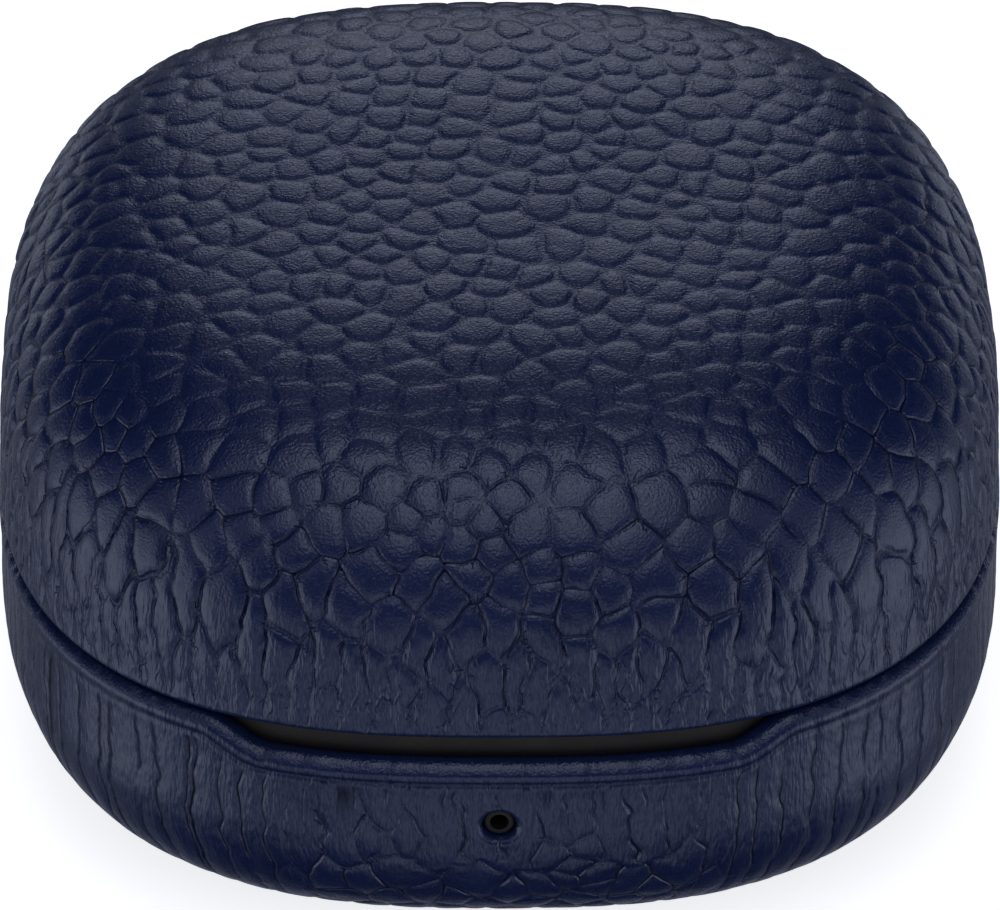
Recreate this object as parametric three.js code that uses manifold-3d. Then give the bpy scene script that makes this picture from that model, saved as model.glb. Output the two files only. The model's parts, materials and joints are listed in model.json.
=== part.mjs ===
// A leather-covered charging case for a pair of wireless earbuds.
// The frame's origin is the middle of the flat foot, +X is to the right, +Y to the hinge and +Z up.
// All sizes are millimetres.
import * as THREE from "three";
import { mergeVertices } from "three/addons/utils/BufferGeometryUtils.js";
import Module from "manifold-3d";

const wasm = await Module();
wasm.setup();

// ---- Outer form: a pillow with superellipse sections ----
const WIDTH = 53.6; // over the leather, along X
const DEPTH = 53.8; // over the leather, along Y
const HEIGHT = 31.4; // over the leather, along Z
const WIDEST_Z = 9.6; // height of the widest section
const FOOT_SHARE = 0.69; // the flat foot's width over the widest section's
const PLAN_EXPONENT = 2.65; // squareness of the outline seen from above
const BELLY_EXPONENT = 2.0; // squareness of the side under the widest section
const DOME_EXPONENT = 4.8; // squareness of the side and top above it
const PLAN_STEPS = 40;
const BELLY_STEPS = 4;
const DOME_STEPS = 8;

// ---- Layers, from the outside in ----
const LEATHER = 1.0;
const COVER_WALL = 0.6;
const LAYER_GAP = 0.1;
const CASE_WALL = 1.4;
const COVER_INSET = LEATHER + LAYER_GAP;
const CASE_INSET = COVER_INSET + COVER_WALL + LAYER_GAP;
const ROOM_INSET = CASE_INSET + CASE_WALL;
const DECK_INSET = ROOM_INSET + LAYER_GAP;

// ---- Seam between base and lid ----
const SEAM_Z = 15.35;
const SEAM_GAP = 0.3;
const BASE_TOP = SEAM_Z - SEAM_GAP / 2;
const LID_BOTTOM = SEAM_Z + SEAM_GAP / 2;
const FAR = 40; // beyond the object in every direction

// ---- Finger notch and indicator hole in the front of the leather ----
const NOTCH_TOP_HALF = 15.8;
const NOTCH_BOTTOM_HALF = 12.4;
const NOTCH_DEPTH = 1.4;
const INDICATOR_Z = 9.8;
const INDICATOR_HOLE = 0.93; // radius in the leather
const INDICATOR_RING = 0.83; // outer radius of the cover shell's raised ring
const INDICATOR_EYE = 0.5; // radius of the hole in the ring
const RING_PROUD = 0.55; // how far the ring stands into the leather

// ---- Hinge at the back ----
const HINGE_Y = DEPTH / 2 - CASE_INSET;
const HINGE_Z = SEAM_Z;
const BARREL = 1.65; // knuckle radius
const SCOOP = BARREL + 0.3; // relief in the wall beside a turning knuckle
const LID_KNUCKLE_HALF = 6.3;
const BASE_KNUCKLE_START = 6.5;
const BASE_KNUCKLE_END = 11.0;
const CAP_START = 11.05;
const CAP_END = 11.55;
const CAP_RADIUS = 1.5;
const PIN_RADIUS = 0.5;
const PIN_BORE = 0.58;
const PIN_HALF = 10.9;
const SPRING_BORE = 1.15;
const SPRING_BORE_HALF = 5.0;
const SPRING_COIL = 0.85; // radius of the wire's centre line
const SPRING_WIRE = 0.13;
const SPRING_HALF = 4.3;
const SPRING_TURNS = 7;
const BLOCK_HALF = 12.4; // hinge blocks inside the shells
const BLOCK_FRONT = 22.2;
const BLOCK_BACK = 24.6;
const BASE_BLOCK_BOTTOM = 11.5;
const LID_BLOCK_TOP = 19.2;
const BLOCK_GAP = 0.2; // between a block and the edge of the cover's opening
const HINGE_CUT_HALF = 14.0; // opening in the cover around the hinge
const HINGE_CUT_BOTTOM = 13.0;
const HINGE_CUT_TOP = 17.7;
const HINGE_CUT_CORNER = 1.6;

// ---- Charging socket at the back ----
const USB_WIDTH = 8.94;
const USB_HEIGHT = 3.26;
const USB_WALL = 0.3;
const USB_MOUTH_Y = 24.7;
const USB_LENGTH = 7.35;
const TONGUE_WIDTH = 6.6;
const TONGUE_HEIGHT = 0.7;
const USB_HOLE_GAP = 0.18; // around the socket, in the case's wall
const USB_CUT_WIDTH = 12.4; // in the cover, for a plug's grip
const USB_CUT_HEIGHT = 5.8;

// ---- Earbud wells ----
const WELL_X = 11.4;
const WELL_HALF_WIDTH = 8.6;
const WELL_HALF_LENGTH = 14.0;
const WELL_WAIST = 1.5; // how far the inner side bulges into the bean
const WELL_WALL = 0.8;
const WELL_FLOOR_SHARE = 0.72; // the floor's outline over the mouth's
const WELL_EXPONENT = 2.2;
const WELL_STEPS = 24;
const WELL_RINGS = 4;
const DECK_TOP = 15.0;
const DECK_BOTTOM = 13.8;
const WELL_FLOOR = 8.3;
const LINER_BOTTOM = 15.7;
const LINER_TOP = 16.8;
const HOLLOW_CEILING = 23.8;

// ---- Stack under the wells ----
const COIL_BOTTOM = 3.3;
const COIL_THICK = 0.6;
const COIL_OUTER = 16.0;
const COIL_INNER = 9.0;
const FERRITE_BOTTOM = 4.0;
const FERRITE_THICK = 0.4;
const FERRITE_RADIUS = 16.8;
const BATTERY = { x: [-17, 17], y: [-7.2, 13.2], z: [4.5, 7.3] };
const BATTERY_EDGE = 1.0;

// ---- Circuit boards ----
const BOARD_THICK = 0.8;
const MAIN_BOARD_Z = 6.2;
const MAIN_BOARD = { x: [-13.6, 13.6], y: [14.0, 19.4], z: [MAIN_BOARD_Z, MAIN_BOARD_Z + BOARD_THICK] };
const MAIN_BOARD_TOP = MAIN_BOARD_Z + BOARD_THICK;
const CONTACT_BOARD_Z = 4.6;
const CONTACT_BOARD_TOP = CONTACT_BOARD_Z + BOARD_THICK;
const CONTACT_BOARD = { x: [-15, 15], y: [-14.2, -7.8], z: [CONTACT_BOARD_Z, CONTACT_BOARD_TOP] };
const CONTACT_TONGUE = { x: [-5, 5], y: [-19.8, -14.0], z: [CONTACT_BOARD_Z, CONTACT_BOARD_TOP] };
const SEAT_GAP = 0.05; // between a mounted piece and what carries it
const SCREW_X = 12.0;
const SCREW_Y = 16.0;
const SCREW_POST = 1.3;
const SCREW_SHANK = 0.42;
const SCREW_HEAD = 1.0;
const SCREW_HEAD_TALL = 0.55;
const SCREW_DRIVE = 0.35;
const SCREW_TIP_Z = 4.1;
const FLEX_HALF = 1.2;
const FLEX_THICK = 0.12;

// ---- Indicators ----
const STATUS_LED_Y = -18.6;
const INNER_LED_Y = -15.6;
const PIPE_RADIUS = 0.7;
const PIPE_GAP = 0.12;
const PIPE_BEND = 1.2;

// ---- Charging contacts ----
const CONTACT_SPREAD = 1.6; // from a well's middle to each contact
const CONTACT_Y = -8.7;
const BARREL_RADIUS = 0.75;
const BARREL_BORE = 0.52;
const BARREL_MOUTH = 0.38;
const BARREL_BOTTOM = CONTACT_BOARD_TOP + SEAT_GAP;
const BARREL_SHOULDER = 8.0;
const BARREL_TOP = 8.35;
const PLUNGER_FLANGE = 0.46;
const PLUNGER_STEM = 0.32;
const PLUNGER_BOTTOM = 7.25;
const PLUNGER_SHOULDER = 7.9;
const PLUNGER_TIP = 9.3;
const CONTACT_SPRING_COIL = 0.36;
const CONTACT_SPRING_WIRE = 0.055;
const CONTACT_SPRING_TURNS = 4;

// ---- Magnets and pads ----
const CLOSE_MAGNET = { x: 12.6, y: -18.2, size: [5.0, 2.4, 2.0] };
const BASE_MAGNET_Z = 12.7;
const LID_MAGNET_Z = 17.9;
const BUD_MAGNET = { x: WELL_X, y: 15.9, z: 10.4, size: [4.0, 1.6, 3.6] };
const SENSOR_MAGNET = { y: -19.5, radius: 1.2, z: [16.9, 18.1] };
const PAD_HALF_WIDTH = 3.2;
const PAD_HALF_LENGTH = 5.4;
const PAD_THICK = 0.75;

// ---- Finishes ----
function finish(color, roughness, metalness = 0) {
  return new THREE.MeshStandardMaterial({ color, roughness, metalness });
}
const NAVY_LEATHER = finish(0x1d2440, 0.55);
const BLACK_SHELL = finish(0x141414, 0.5);
const BLACK_CASE = finish(0x101114, 0.35);
const BLACK_TRAY = finish(0x16171a, 0.4);
const BOARD_GREEN = finish(0x123a2a, 0.5);
const CHIP_BLACK = finish(0x18181a, 0.45);
const STEEL = finish(0xb8bac0, 0.3, 1);
const GOLD = finish(0xd9b25f, 0.25, 1);
const COPPER = finish(0xb87545, 0.35, 1);
const FERRITE_GREY = finish(0x35363a, 0.7);
const FOIL = finish(0x9aa0a8, 0.4, 0.6);
const FLEX_AMBER = finish(0xa8641e, 0.45);
const CLEAR_GUIDE = finish(0xe8ecf0, 0.2);
const SILICONE = finish(0x2a2b2f, 0.8);

const earbudsCase = new THREE.Group();

// ---- Making solids ----

// A closed three.js geometry as a solid that can be joined and cut.
function solidOf(geometry) {
  const bare = geometry.clone();
  bare.deleteAttribute("normal");
  bare.deleteAttribute("uv");
  const merged = mergeVertices(bare, 1e-4);
  return new wasm.Manifold(
    new wasm.Mesh({
      numProp: 3,
      vertProperties: merged.getAttribute("position").array,
      triVerts: new Uint32Array(merged.index.array),
    }),
  );
}

function piece(name, solid, material) {
  const { vertProperties, triVerts } = solid.getMesh();
  const geometry = new THREE.BufferGeometry();
  geometry.setAttribute("position", new THREE.BufferAttribute(vertProperties, 3));
  geometry.setIndex(new THREE.BufferAttribute(triVerts, 1));
  geometry.computeVertexNormals();
  const mesh = new THREE.Mesh(geometry, material);
  mesh.name = name;
  earbudsCase.add(mesh);
}

function joined(solids) {
  return solids.reduce((whole, next) => whole.add(next));
}

function without(solid, cutters) {
  return cutters.reduce((left, cutter) => left.subtract(cutter), solid);
}

function block({ x, y, z }) {
  const box = new THREE.BoxGeometry(x[1] - x[0], y[1] - y[0], z[1] - z[0]);
  box.translate((x[0] + x[1]) / 2, (y[0] + y[1]) / 2, (z[0] + z[1]) / 2);
  return solidOf(box);
}

function centredBlock([cx, cy, cz], [sx, sy, sz]) {
  const box = new THREE.BoxGeometry(sx, sy, sz);
  box.translate(cx, cy, cz);
  return solidOf(box);
}

// A round rod between two points.
function rod(radius, start, end, sides) {
  const from = new THREE.Vector3(...start);
  const along = new THREE.Vector3(...end).sub(from);
  const cylinder = new THREE.CylinderGeometry(radius, radius, along.length(), sides);
  cylinder.translate(0, along.length() / 2, 0);
  const turn = new THREE.Quaternion();
  turn.setFromUnitVectors(new THREE.Vector3(0, 1, 0), along.clone().normalize());
  cylinder.applyQuaternion(turn);
  cylinder.translate(from.x, from.y, from.z);
  return solidOf(cylinder);
}

// A rod along the hinge axis.
function hingeRod(radius, x0, x1, sides = 20) {
  return rod(radius, [x0, HINGE_Y, HINGE_Z], [x1, HINGE_Y, HINGE_Z], sides);
}

// A turned piece standing along Z at (x, y), from radius and height pairs that start and end on the axis.
function turned(profile, x, y, sides) {
  const points = profile.map(([radius, height]) => new THREE.Vector2(radius, height));
  const lathe = new THREE.LatheGeometry(points, sides);
  lathe.rotateX(Math.PI / 2);
  lathe.translate(x, y, 0);
  return solidOf(lathe);
}

// A flat outline in X and Z, extruded along Y.
function frontExtrusion(shape, y0, y1, curveSegments = 5) {
  const slab = new THREE.ExtrudeGeometry(shape, { depth: y1 - y0, bevelEnabled: false, curveSegments });
  slab.rotateX(Math.PI / 2);
  slab.translate(0, y1, 0);
  return solidOf(slab);
}

function roundedRectangle(halfWidth, z0, z1, corner) {
  const shape = new THREE.Shape();
  shape.moveTo(-halfWidth + corner, z0);
  shape.lineTo(halfWidth - corner, z0);
  shape.absarc(halfWidth - corner, z0 + corner, corner, -Math.PI / 2, 0);
  shape.lineTo(halfWidth, z1 - corner);
  shape.absarc(halfWidth - corner, z1 - corner, corner, 0, Math.PI / 2);
  shape.lineTo(-halfWidth + corner, z1);
  shape.absarc(-halfWidth + corner, z1 - corner, corner, Math.PI / 2, Math.PI);
  shape.lineTo(-halfWidth, z0 + corner);
  shape.absarc(-halfWidth + corner, z0 + corner, corner, Math.PI, 1.5 * Math.PI);
  return shape;
}

// A closed surface through rings of equal point counts, with a fan to a point at each end.
function loft(rings, bottomPoint, topPoint) {
  const count = rings[0].length;
  const points = [...rings.flat(), bottomPoint, topPoint];
  const bottom = rings.length * count;
  const top = bottom + 1;
  const last = bottom - count;
  const index = [];
  for (let i = 0; i < count; i++) {
    const next = (i + 1) % count;
    for (let k = 0; k + 1 < rings.length; k++) {
      const a = k * count + i;
      const b = k * count + next;
      index.push(a, b, b + count, a, b + count, a + count);
    }
    index.push(bottom, next, i);
    index.push(top, last + i, last + next);
  }
  const geometry = new THREE.BufferGeometry().setFromPoints(points);
  geometry.setIndex(index);
  return solidOf(geometry);
}

function signedPower(value, exponent) {
  return Math.sign(value) * Math.abs(value) ** exponent;
}

function planRing(halfWidth, halfDepth, z) {
  const ring = [];
  for (let i = 0; i < PLAN_STEPS; i++) {
    const turn = (i / PLAN_STEPS) * 2 * Math.PI;
    const x = halfWidth * signedPower(Math.cos(turn), 2 / PLAN_EXPONENT);
    const y = halfDepth * signedPower(Math.sin(turn), 2 / PLAN_EXPONENT);
    ring.push(new THREE.Vector3(x, y, z));
  }
  return ring;
}

// The whole pillow, set in from the leather's face by inset.
function pillow(inset) {
  const halfWidth = WIDTH / 2 - inset;
  const halfDepth = DEPTH / 2 - inset;
  const top = HEIGHT - inset;
  const rings = [];
  for (let k = 0; k <= BELLY_STEPS; k++) {
    const turn = ((k / BELLY_STEPS) * Math.PI) / 2;
    const share = FOOT_SHARE + (1 - FOOT_SHARE) * Math.sin(turn) ** (2 / BELLY_EXPONENT);
    const z = WIDEST_Z - (WIDEST_Z - inset) * Math.cos(turn) ** (2 / BELLY_EXPONENT);
    rings.push(planRing(halfWidth * share, halfDepth * share, z));
  }
  for (let k = 1; k < DOME_STEPS; k++) {
    const turn = ((k / DOME_STEPS) * Math.PI) / 2;
    const share = Math.cos(turn) ** (2 / DOME_EXPONENT);
    const z = WIDEST_Z + (top - WIDEST_Z) * Math.sin(turn) ** (2 / DOME_EXPONENT);
    rings.push(planRing(halfWidth * share, halfDepth * share, z));
  }
  return loft(rings, new THREE.Vector3(0, 0, inset), new THREE.Vector3(0, 0, top));
}

// One bean outline. side is 1 for the right well and -1 for the left, and the waist faces the middle.
function beanRing(side, share, grow, z) {
  const ring = [];
  for (let i = 0; i < WELL_STEPS; i++) {
    const turn = (i / WELL_STEPS) * 2 * Math.PI;
    const waist = WELL_WAIST * Math.max(0, -side * Math.cos(turn)) ** 4;
    const x = (WELL_HALF_WIDTH + grow) * share * Math.cos(turn) + side * waist * share;
    const y = (WELL_HALF_LENGTH + grow) * share * Math.sin(turn);
    ring.push(new THREE.Vector3(side * WELL_X + x, y, z));
  }
  return ring;
}

// The space of an earbud well between its mouth and its floor, or of the cup around it when grow is set.
// The floor may be under the mouth, as in the tray, or over it, as in the lid's liner.
function well(side, mouthZ, floorZ, grow) {
  const rings = [];
  for (let k = 0; k <= WELL_RINGS; k++) {
    const turn = ((k / WELL_RINGS) * Math.PI) / 2;
    const share = WELL_FLOOR_SHARE + (1 - WELL_FLOOR_SHARE) * Math.sin(turn) ** (2 / WELL_EXPONENT);
    const z = mouthZ + (floorZ - mouthZ) * Math.cos(turn) ** (2 / WELL_EXPONENT);
    rings.push(beanRing(side, share, grow, z));
  }
  const floor = new THREE.Vector3(side * WELL_X, 0, floorZ);
  const mouth = new THREE.Vector3(side * WELL_X, 0, mouthZ);
  return floorZ < mouthZ ? loft(rings, floor, mouth) : loft(rings.reverse(), mouth, floor);
}

// A round wire wound along a helix.
function coilSpring(centreAt, turns, stepsPerTurn, wire, sides) {
  const points = [];
  for (let i = 0; i <= turns * stepsPerTurn; i++) {
    points.push(centreAt(i / (turns * stepsPerTurn), (i / stepsPerTurn) * 2 * Math.PI));
  }
  const section = new THREE.Shape();
  for (let i = 0; i < sides; i++) {
    const turn = (i / sides) * 2 * Math.PI;
    const corner = [wire * Math.cos(turn), wire * Math.sin(turn)];
    if (i === 0) section.moveTo(...corner);
    else section.lineTo(...corner);
  }
  section.closePath();
  const path = new THREE.CatmullRomCurve3(points);
  const steps = turns * stepsPerTurn;
  return solidOf(new THREE.ExtrudeGeometry(section, { steps, extrudePath: path, bevelEnabled: false }));
}

const BELOW_SEAM = block({ x: [-FAR, FAR], y: [-FAR, FAR], z: [-FAR, BASE_TOP] });
const ABOVE_SEAM = block({ x: [-FAR, FAR], y: [-FAR, FAR], z: [LID_BOTTOM, FAR] });

// A layer of the pillow between two insets, on one side of the seam.
function layer(outerInset, innerInset, half) {
  return pillow(outerInset).subtract(pillow(innerInset)).intersect(half);
}

// ---- Cutters shared by the cover's two layers ----

function fingerNotch() {
  const bottom = BASE_TOP - NOTCH_DEPTH;
  const lean = (NOTCH_TOP_HALF - NOTCH_BOTTOM_HALF) / 2;
  const shape = new THREE.Shape();
  shape.moveTo(-NOTCH_BOTTOM_HALF, bottom);
  shape.lineTo(NOTCH_BOTTOM_HALF, bottom);
  shape.bezierCurveTo(
    NOTCH_BOTTOM_HALF + lean, bottom, NOTCH_TOP_HALF - lean, BASE_TOP, NOTCH_TOP_HALF, BASE_TOP,
  );
  shape.lineTo(NOTCH_TOP_HALF, BASE_TOP + 1);
  shape.lineTo(-NOTCH_TOP_HALF, BASE_TOP + 1);
  shape.lineTo(-NOTCH_TOP_HALF, BASE_TOP);
  shape.bezierCurveTo(
    -NOTCH_TOP_HALF + lean, BASE_TOP, -NOTCH_BOTTOM_HALF - lean, bottom, -NOTCH_BOTTOM_HALF, bottom,
  );
  return frontExtrusion(shape, -FAR, -15);
}

function hingeOpening() {
  const shape = roundedRectangle(HINGE_CUT_HALF, HINGE_CUT_BOTTOM, HINGE_CUT_TOP, HINGE_CUT_CORNER);
  return frontExtrusion(shape, 15, FAR);
}

const USB_Z = MAIN_BOARD_TOP + SEAT_GAP + USB_HEIGHT / 2;

function usbOutline(halfWidth, halfHeight) {
  return roundedRectangle(halfWidth, USB_Z - halfHeight, USB_Z + halfHeight, 0.98 * halfHeight);
}

function usbOpening() {
  return frontExtrusion(usbOutline(USB_CUT_WIDTH / 2, USB_CUT_HEIGHT / 2), 15, FAR);
}

function indicatorBore(radius) {
  return rod(radius, [0, -FAR, INDICATOR_Z], [0, -15, INDICATOR_Z], 16);
}

// ---- The leather cover: two skins over two thin shells ----

function addBaseCover() {
  const skin = without(layer(0, LEATHER, BELOW_SEAM), [
    fingerNotch(), hingeOpening(), usbOpening(), indicatorBore(INDICATOR_HOLE),
  ]);
  piece("base_leather", skin, NAVY_LEATHER);

  const wallFront = -DEPTH / 2 + COVER_INSET;
  const ring = rod(
    INDICATOR_RING, [0, wallFront - RING_PROUD, INDICATOR_Z], [0, wallFront + 0.4, INDICATOR_Z], 16,
  );
  const shell = layer(COVER_INSET, COVER_INSET + COVER_WALL, BELOW_SEAM).add(ring);
  const openShell = without(shell, [hingeOpening(), usbOpening(), indicatorBore(INDICATOR_EYE)]);
  piece("base_cover_shell", openShell, BLACK_SHELL);
}

function addLidCover() {
  piece("lid_leather", layer(0, LEATHER, ABOVE_SEAM).subtract(hingeOpening()), NAVY_LEATHER);
  const shell = layer(COVER_INSET, COVER_INSET + COVER_WALL, ABOVE_SEAM);
  piece("lid_cover_shell", shell.subtract(hingeOpening()), BLACK_SHELL);
}

// ---- The case's two shells, with the hinge's knuckles ----

// The thick part of a shell that carries its knuckles. Only its share between openZ's two heights, where
// the cover is cut away, stands out of the shell's own face.
function hingeBlock(z, openZ) {
  const across = { x: [-BLOCK_HALF, BLOCK_HALF], y: [BLOCK_FRONT, BLOCK_BACK] };
  return block({ ...across, z }).intersect(pillow(CASE_INSET)).add(block({ ...across, z: openZ }));
}

function addCaseBaseShell() {
  const bowl = layer(CASE_INSET, ROOM_INSET, BELOW_SEAM);
  const carrier = hingeBlock([BASE_BLOCK_BOTTOM, BASE_TOP], [HINGE_CUT_BOTTOM + BLOCK_GAP, BASE_TOP]);
  const posts = [-SCREW_X, SCREW_X].map((x) =>
    rod(SCREW_POST, [x, SCREW_Y, ROOM_INSET - 0.4], [x, SCREW_Y, MAIN_BOARD_Z - SEAT_GAP], 16),
  );
  const postBores = [-SCREW_X, SCREW_X].map((x) =>
    rod(SCREW_SHANK + 0.08, [x, SCREW_Y, SCREW_TIP_Z - 0.2], [x, SCREW_Y, MAIN_BOARD_Z + 1], 12),
  );
  const scooped = joined([bowl, carrier, ...posts]).subtract(
    hingeRod(SCOOP, -BASE_KNUCKLE_START + 0.05, BASE_KNUCKLE_START - 0.05),
  );
  const knuckles = [
    hingeRod(BARREL, BASE_KNUCKLE_START, BASE_KNUCKLE_END),
    hingeRod(BARREL, -BASE_KNUCKLE_END, -BASE_KNUCKLE_START),
  ];
  const capSeats = [
    hingeRod(SCOOP, BASE_KNUCKLE_END, CAP_END + 0.2),
    hingeRod(SCOOP, -CAP_END - 0.2, -BASE_KNUCKLE_END),
  ];
  const socket = frontExtrusion(
    usbOutline(USB_WIDTH / 2 + USB_HOLE_GAP, USB_HEIGHT / 2 + USB_HOLE_GAP), 18, FAR, 4,
  );
  const shell = without(joined([scooped, ...knuckles]), [
    hingeRod(PIN_BORE, -FAR, FAR, 16), ...capSeats, ...postBores, socket,
    indicatorBore(PIPE_RADIUS + PIPE_GAP),
  ]);
  piece("case_base_shell", shell, BLACK_CASE);
}

function addCaseLidShell() {
  const dome = layer(CASE_INSET, ROOM_INSET, ABOVE_SEAM);
  const carrier = hingeBlock([LID_BOTTOM, LID_BLOCK_TOP], [LID_BOTTOM, HINGE_CUT_TOP - BLOCK_GAP]);
  const scooped = without(dome.add(carrier), [
    hingeRod(SCOOP, LID_KNUCKLE_HALF, CAP_END + 0.3),
    hingeRod(SCOOP, -CAP_END - 0.3, -LID_KNUCKLE_HALF),
  ]);
  const shell = without(scooped.add(hingeRod(BARREL, -LID_KNUCKLE_HALF, LID_KNUCKLE_HALF)), [
    hingeRod(PIN_BORE, -FAR, FAR, 16),
    hingeRod(SPRING_BORE, -SPRING_BORE_HALF, SPRING_BORE_HALF, 16),
  ]);
  piece("case_lid_shell", shell, BLACK_CASE);
}

function addHinge() {
  piece("hinge_pin", hingeRod(PIN_RADIUS, -PIN_HALF, PIN_HALF, 12), STEEL);
  piece("hinge_cap_left", hingeRod(CAP_RADIUS, -CAP_END, -CAP_START, 16), BLACK_CASE);
  piece("hinge_cap_right", hingeRod(CAP_RADIUS, CAP_START, CAP_END, 16), BLACK_CASE);
  const spring = coilSpring(
    (share, turn) => new THREE.Vector3(
      SPRING_HALF * (2 * share - 1),
      HINGE_Y + SPRING_COIL * Math.cos(turn),
      HINGE_Z + SPRING_COIL * Math.sin(turn),
    ),
    SPRING_TURNS, 10, SPRING_WIRE, 5,
  );
  piece("hinge_spring", spring, STEEL);
}

// ---- The tray in the base and the liner in the lid ----

const SIDES = { left: -1, right: 1 };
const CONTACTS = Object.entries(SIDES).flatMap(([sideName, side]) => [
  { name: `${sideName}_inner`, x: side * (WELL_X - CONTACT_SPREAD) },
  { name: `${sideName}_outer`, x: side * (WELL_X + CONTACT_SPREAD) },
]);

// A plate across the room inside the case, clear of the hinge blocks.
function deckPlate(z0, z1) {
  const slab = pillow(DECK_INSET).intersect(block({ x: [-FAR, FAR], y: [-FAR, FAR], z: [z0, z1] }));
  const hingeSpace = block({
    x: [-BLOCK_HALF - 0.4, BLOCK_HALF + 0.4], y: [BLOCK_FRONT - 0.3, FAR], z: [z0 - 1, z1 + 1],
  });
  return slab.subtract(hingeSpace);
}

function addTray() {
  const cups = Object.values(SIDES).map((side) =>
    well(side, DECK_TOP - 0.4, WELL_FLOOR - WELL_WALL, WELL_WALL),
  );
  const rims = Object.values(SIDES).map((side) => well(side, DECK_TOP + 0.01, WELL_FLOOR, 0));
  const contactBores = CONTACTS.map(({ x }) =>
    rod(BARREL_RADIUS + 0.1, [x, CONTACT_Y, 6], [x, CONTACT_Y, WELL_FLOOR + 1.5], 12),
  );
  const lens = rod(PIPE_RADIUS + PIPE_GAP, [0, INNER_LED_Y, 10], [0, INNER_LED_Y, 20], 12);
  const tray = without(joined([deckPlate(DECK_BOTTOM, DECK_TOP), ...cups]), [
    ...rims, ...contactBores, lens,
  ]);
  piece("bud_tray", tray, BLACK_TRAY);
}

function addLiner() {
  const cups = Object.values(SIDES).map((side) =>
    well(side, LINER_BOTTOM + 0.4, HOLLOW_CEILING + WELL_WALL, WELL_WALL),
  );
  const hollows = Object.values(SIDES).map((side) => well(side, LINER_BOTTOM - 0.01, HOLLOW_CEILING, 0));
  const liner = without(joined([deckPlate(LINER_BOTTOM, LINER_TOP), ...cups]), hollows);
  piece("lid_liner", liner, BLACK_TRAY);
}

// ---- Power: coil, shield and cell ----

function addPower() {
  const coil = turned(
    [
      [COIL_INNER, COIL_BOTTOM], [COIL_OUTER, COIL_BOTTOM], [COIL_OUTER, COIL_BOTTOM + COIL_THICK],
      [COIL_INNER, COIL_BOTTOM + COIL_THICK], [COIL_INNER, COIL_BOTTOM],
    ],
    0, 0, 36,
  );
  piece("charging_coil", coil, COPPER);
  const ferrite = rod(
    FERRITE_RADIUS, [0, 0, FERRITE_BOTTOM], [0, 0, FERRITE_BOTTOM + FERRITE_THICK], 36,
  );
  piece("ferrite_sheet", ferrite, FERRITE_GREY);

  const outline = roundedRectangle(BATTERY.x[1], BATTERY.z[0], BATTERY.z[1], BATTERY_EDGE);
  piece("battery_cell", frontExtrusion(outline, BATTERY.y[0], BATTERY.y[1], 3), FOIL);
}

// ---- Circuit boards and what they carry ----

function addBoards() {
  const screwHoles = [-SCREW_X, SCREW_X].map((x) =>
    rod(SCREW_SHANK + 0.18, [x, SCREW_Y, MAIN_BOARD_Z - 1], [x, SCREW_Y, MAIN_BOARD_TOP + 1], 12),
  );
  piece("main_board", without(block(MAIN_BOARD), screwHoles), BOARD_GREEN);
  piece("contact_board", block(CONTACT_BOARD).add(block(CONTACT_TONGUE)), BOARD_GREEN);

  const chipZ = MAIN_BOARD_TOP + SEAT_GAP;
  piece("charge_controller", block({ x: [-9.2, -6.0], y: [14.8, 18.0], z: [chipZ, chipZ + 0.8] }), CHIP_BLACK);
  piece("microcontroller", block({ x: [5.8, 9.4], y: [14.6, 18.2], z: [chipZ, chipZ + 0.7] }), CHIP_BLACK);
  const sensorZ = CONTACT_BOARD_TOP + SEAT_GAP;
  piece("lid_sensor", block({ x: [2.6, 4.2], y: [-18.2, -17.0], z: [sensorZ, sensorZ + 0.6] }), CHIP_BLACK);

  for (const [sideName, side] of Object.entries(SIDES)) {
    const head = rod(
      SCREW_HEAD,
      [side * SCREW_X, SCREW_Y, MAIN_BOARD_TOP + SEAT_GAP],
      [side * SCREW_X, SCREW_Y, MAIN_BOARD_TOP + SEAT_GAP + SCREW_HEAD_TALL],
      16,
    );
    const shank = rod(
      SCREW_SHANK, [side * SCREW_X, SCREW_Y, SCREW_TIP_Z], [side * SCREW_X, SCREW_Y, MAIN_BOARD_TOP + 0.3], 10,
    );
    const drive = rod(
      SCREW_DRIVE, [side * SCREW_X, SCREW_Y, MAIN_BOARD_TOP + 0.3], [side * SCREW_X, SCREW_Y, FAR], 6,
    );
    piece(`board_screw_${sideName}`, head.add(shank).subtract(drive), STEEL);
  }
}

// A ribbon that steps up from the contact board, crosses over the cell and comes down on the main board.
function addFlex() {
  const low = CONTACT_BOARD_TOP + SEAT_GAP;
  const high = BATTERY.z[1] + 0.1;
  const end = MAIN_BOARD_TOP + SEAT_GAP;
  const underside = [
    [-10.5, low], [-8.6, low], [-7.7, high], [13.5, high], [14.3, end], [16.0, end],
  ];
  const corners = [...underside, ...underside.toReversed().map(([y, z]) => [y, z + FLEX_THICK])];
  const side = new THREE.Shape(corners.map(([y, z]) => new THREE.Vector2(y, z)));
  const ribbon = new THREE.ExtrudeGeometry(side, { depth: 2 * FLEX_HALF, bevelEnabled: false });
  // The outline's two axes become Y and Z, and its depth runs along X.
  ribbon.applyMatrix4(new THREE.Matrix4().set(0, 0, 1, -FLEX_HALF, 1, 0, 0, 0, 0, 1, 0, 0, 0, 0, 0, 1));
  piece("flex_cable", solidOf(ribbon), FLEX_AMBER);
}

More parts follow.
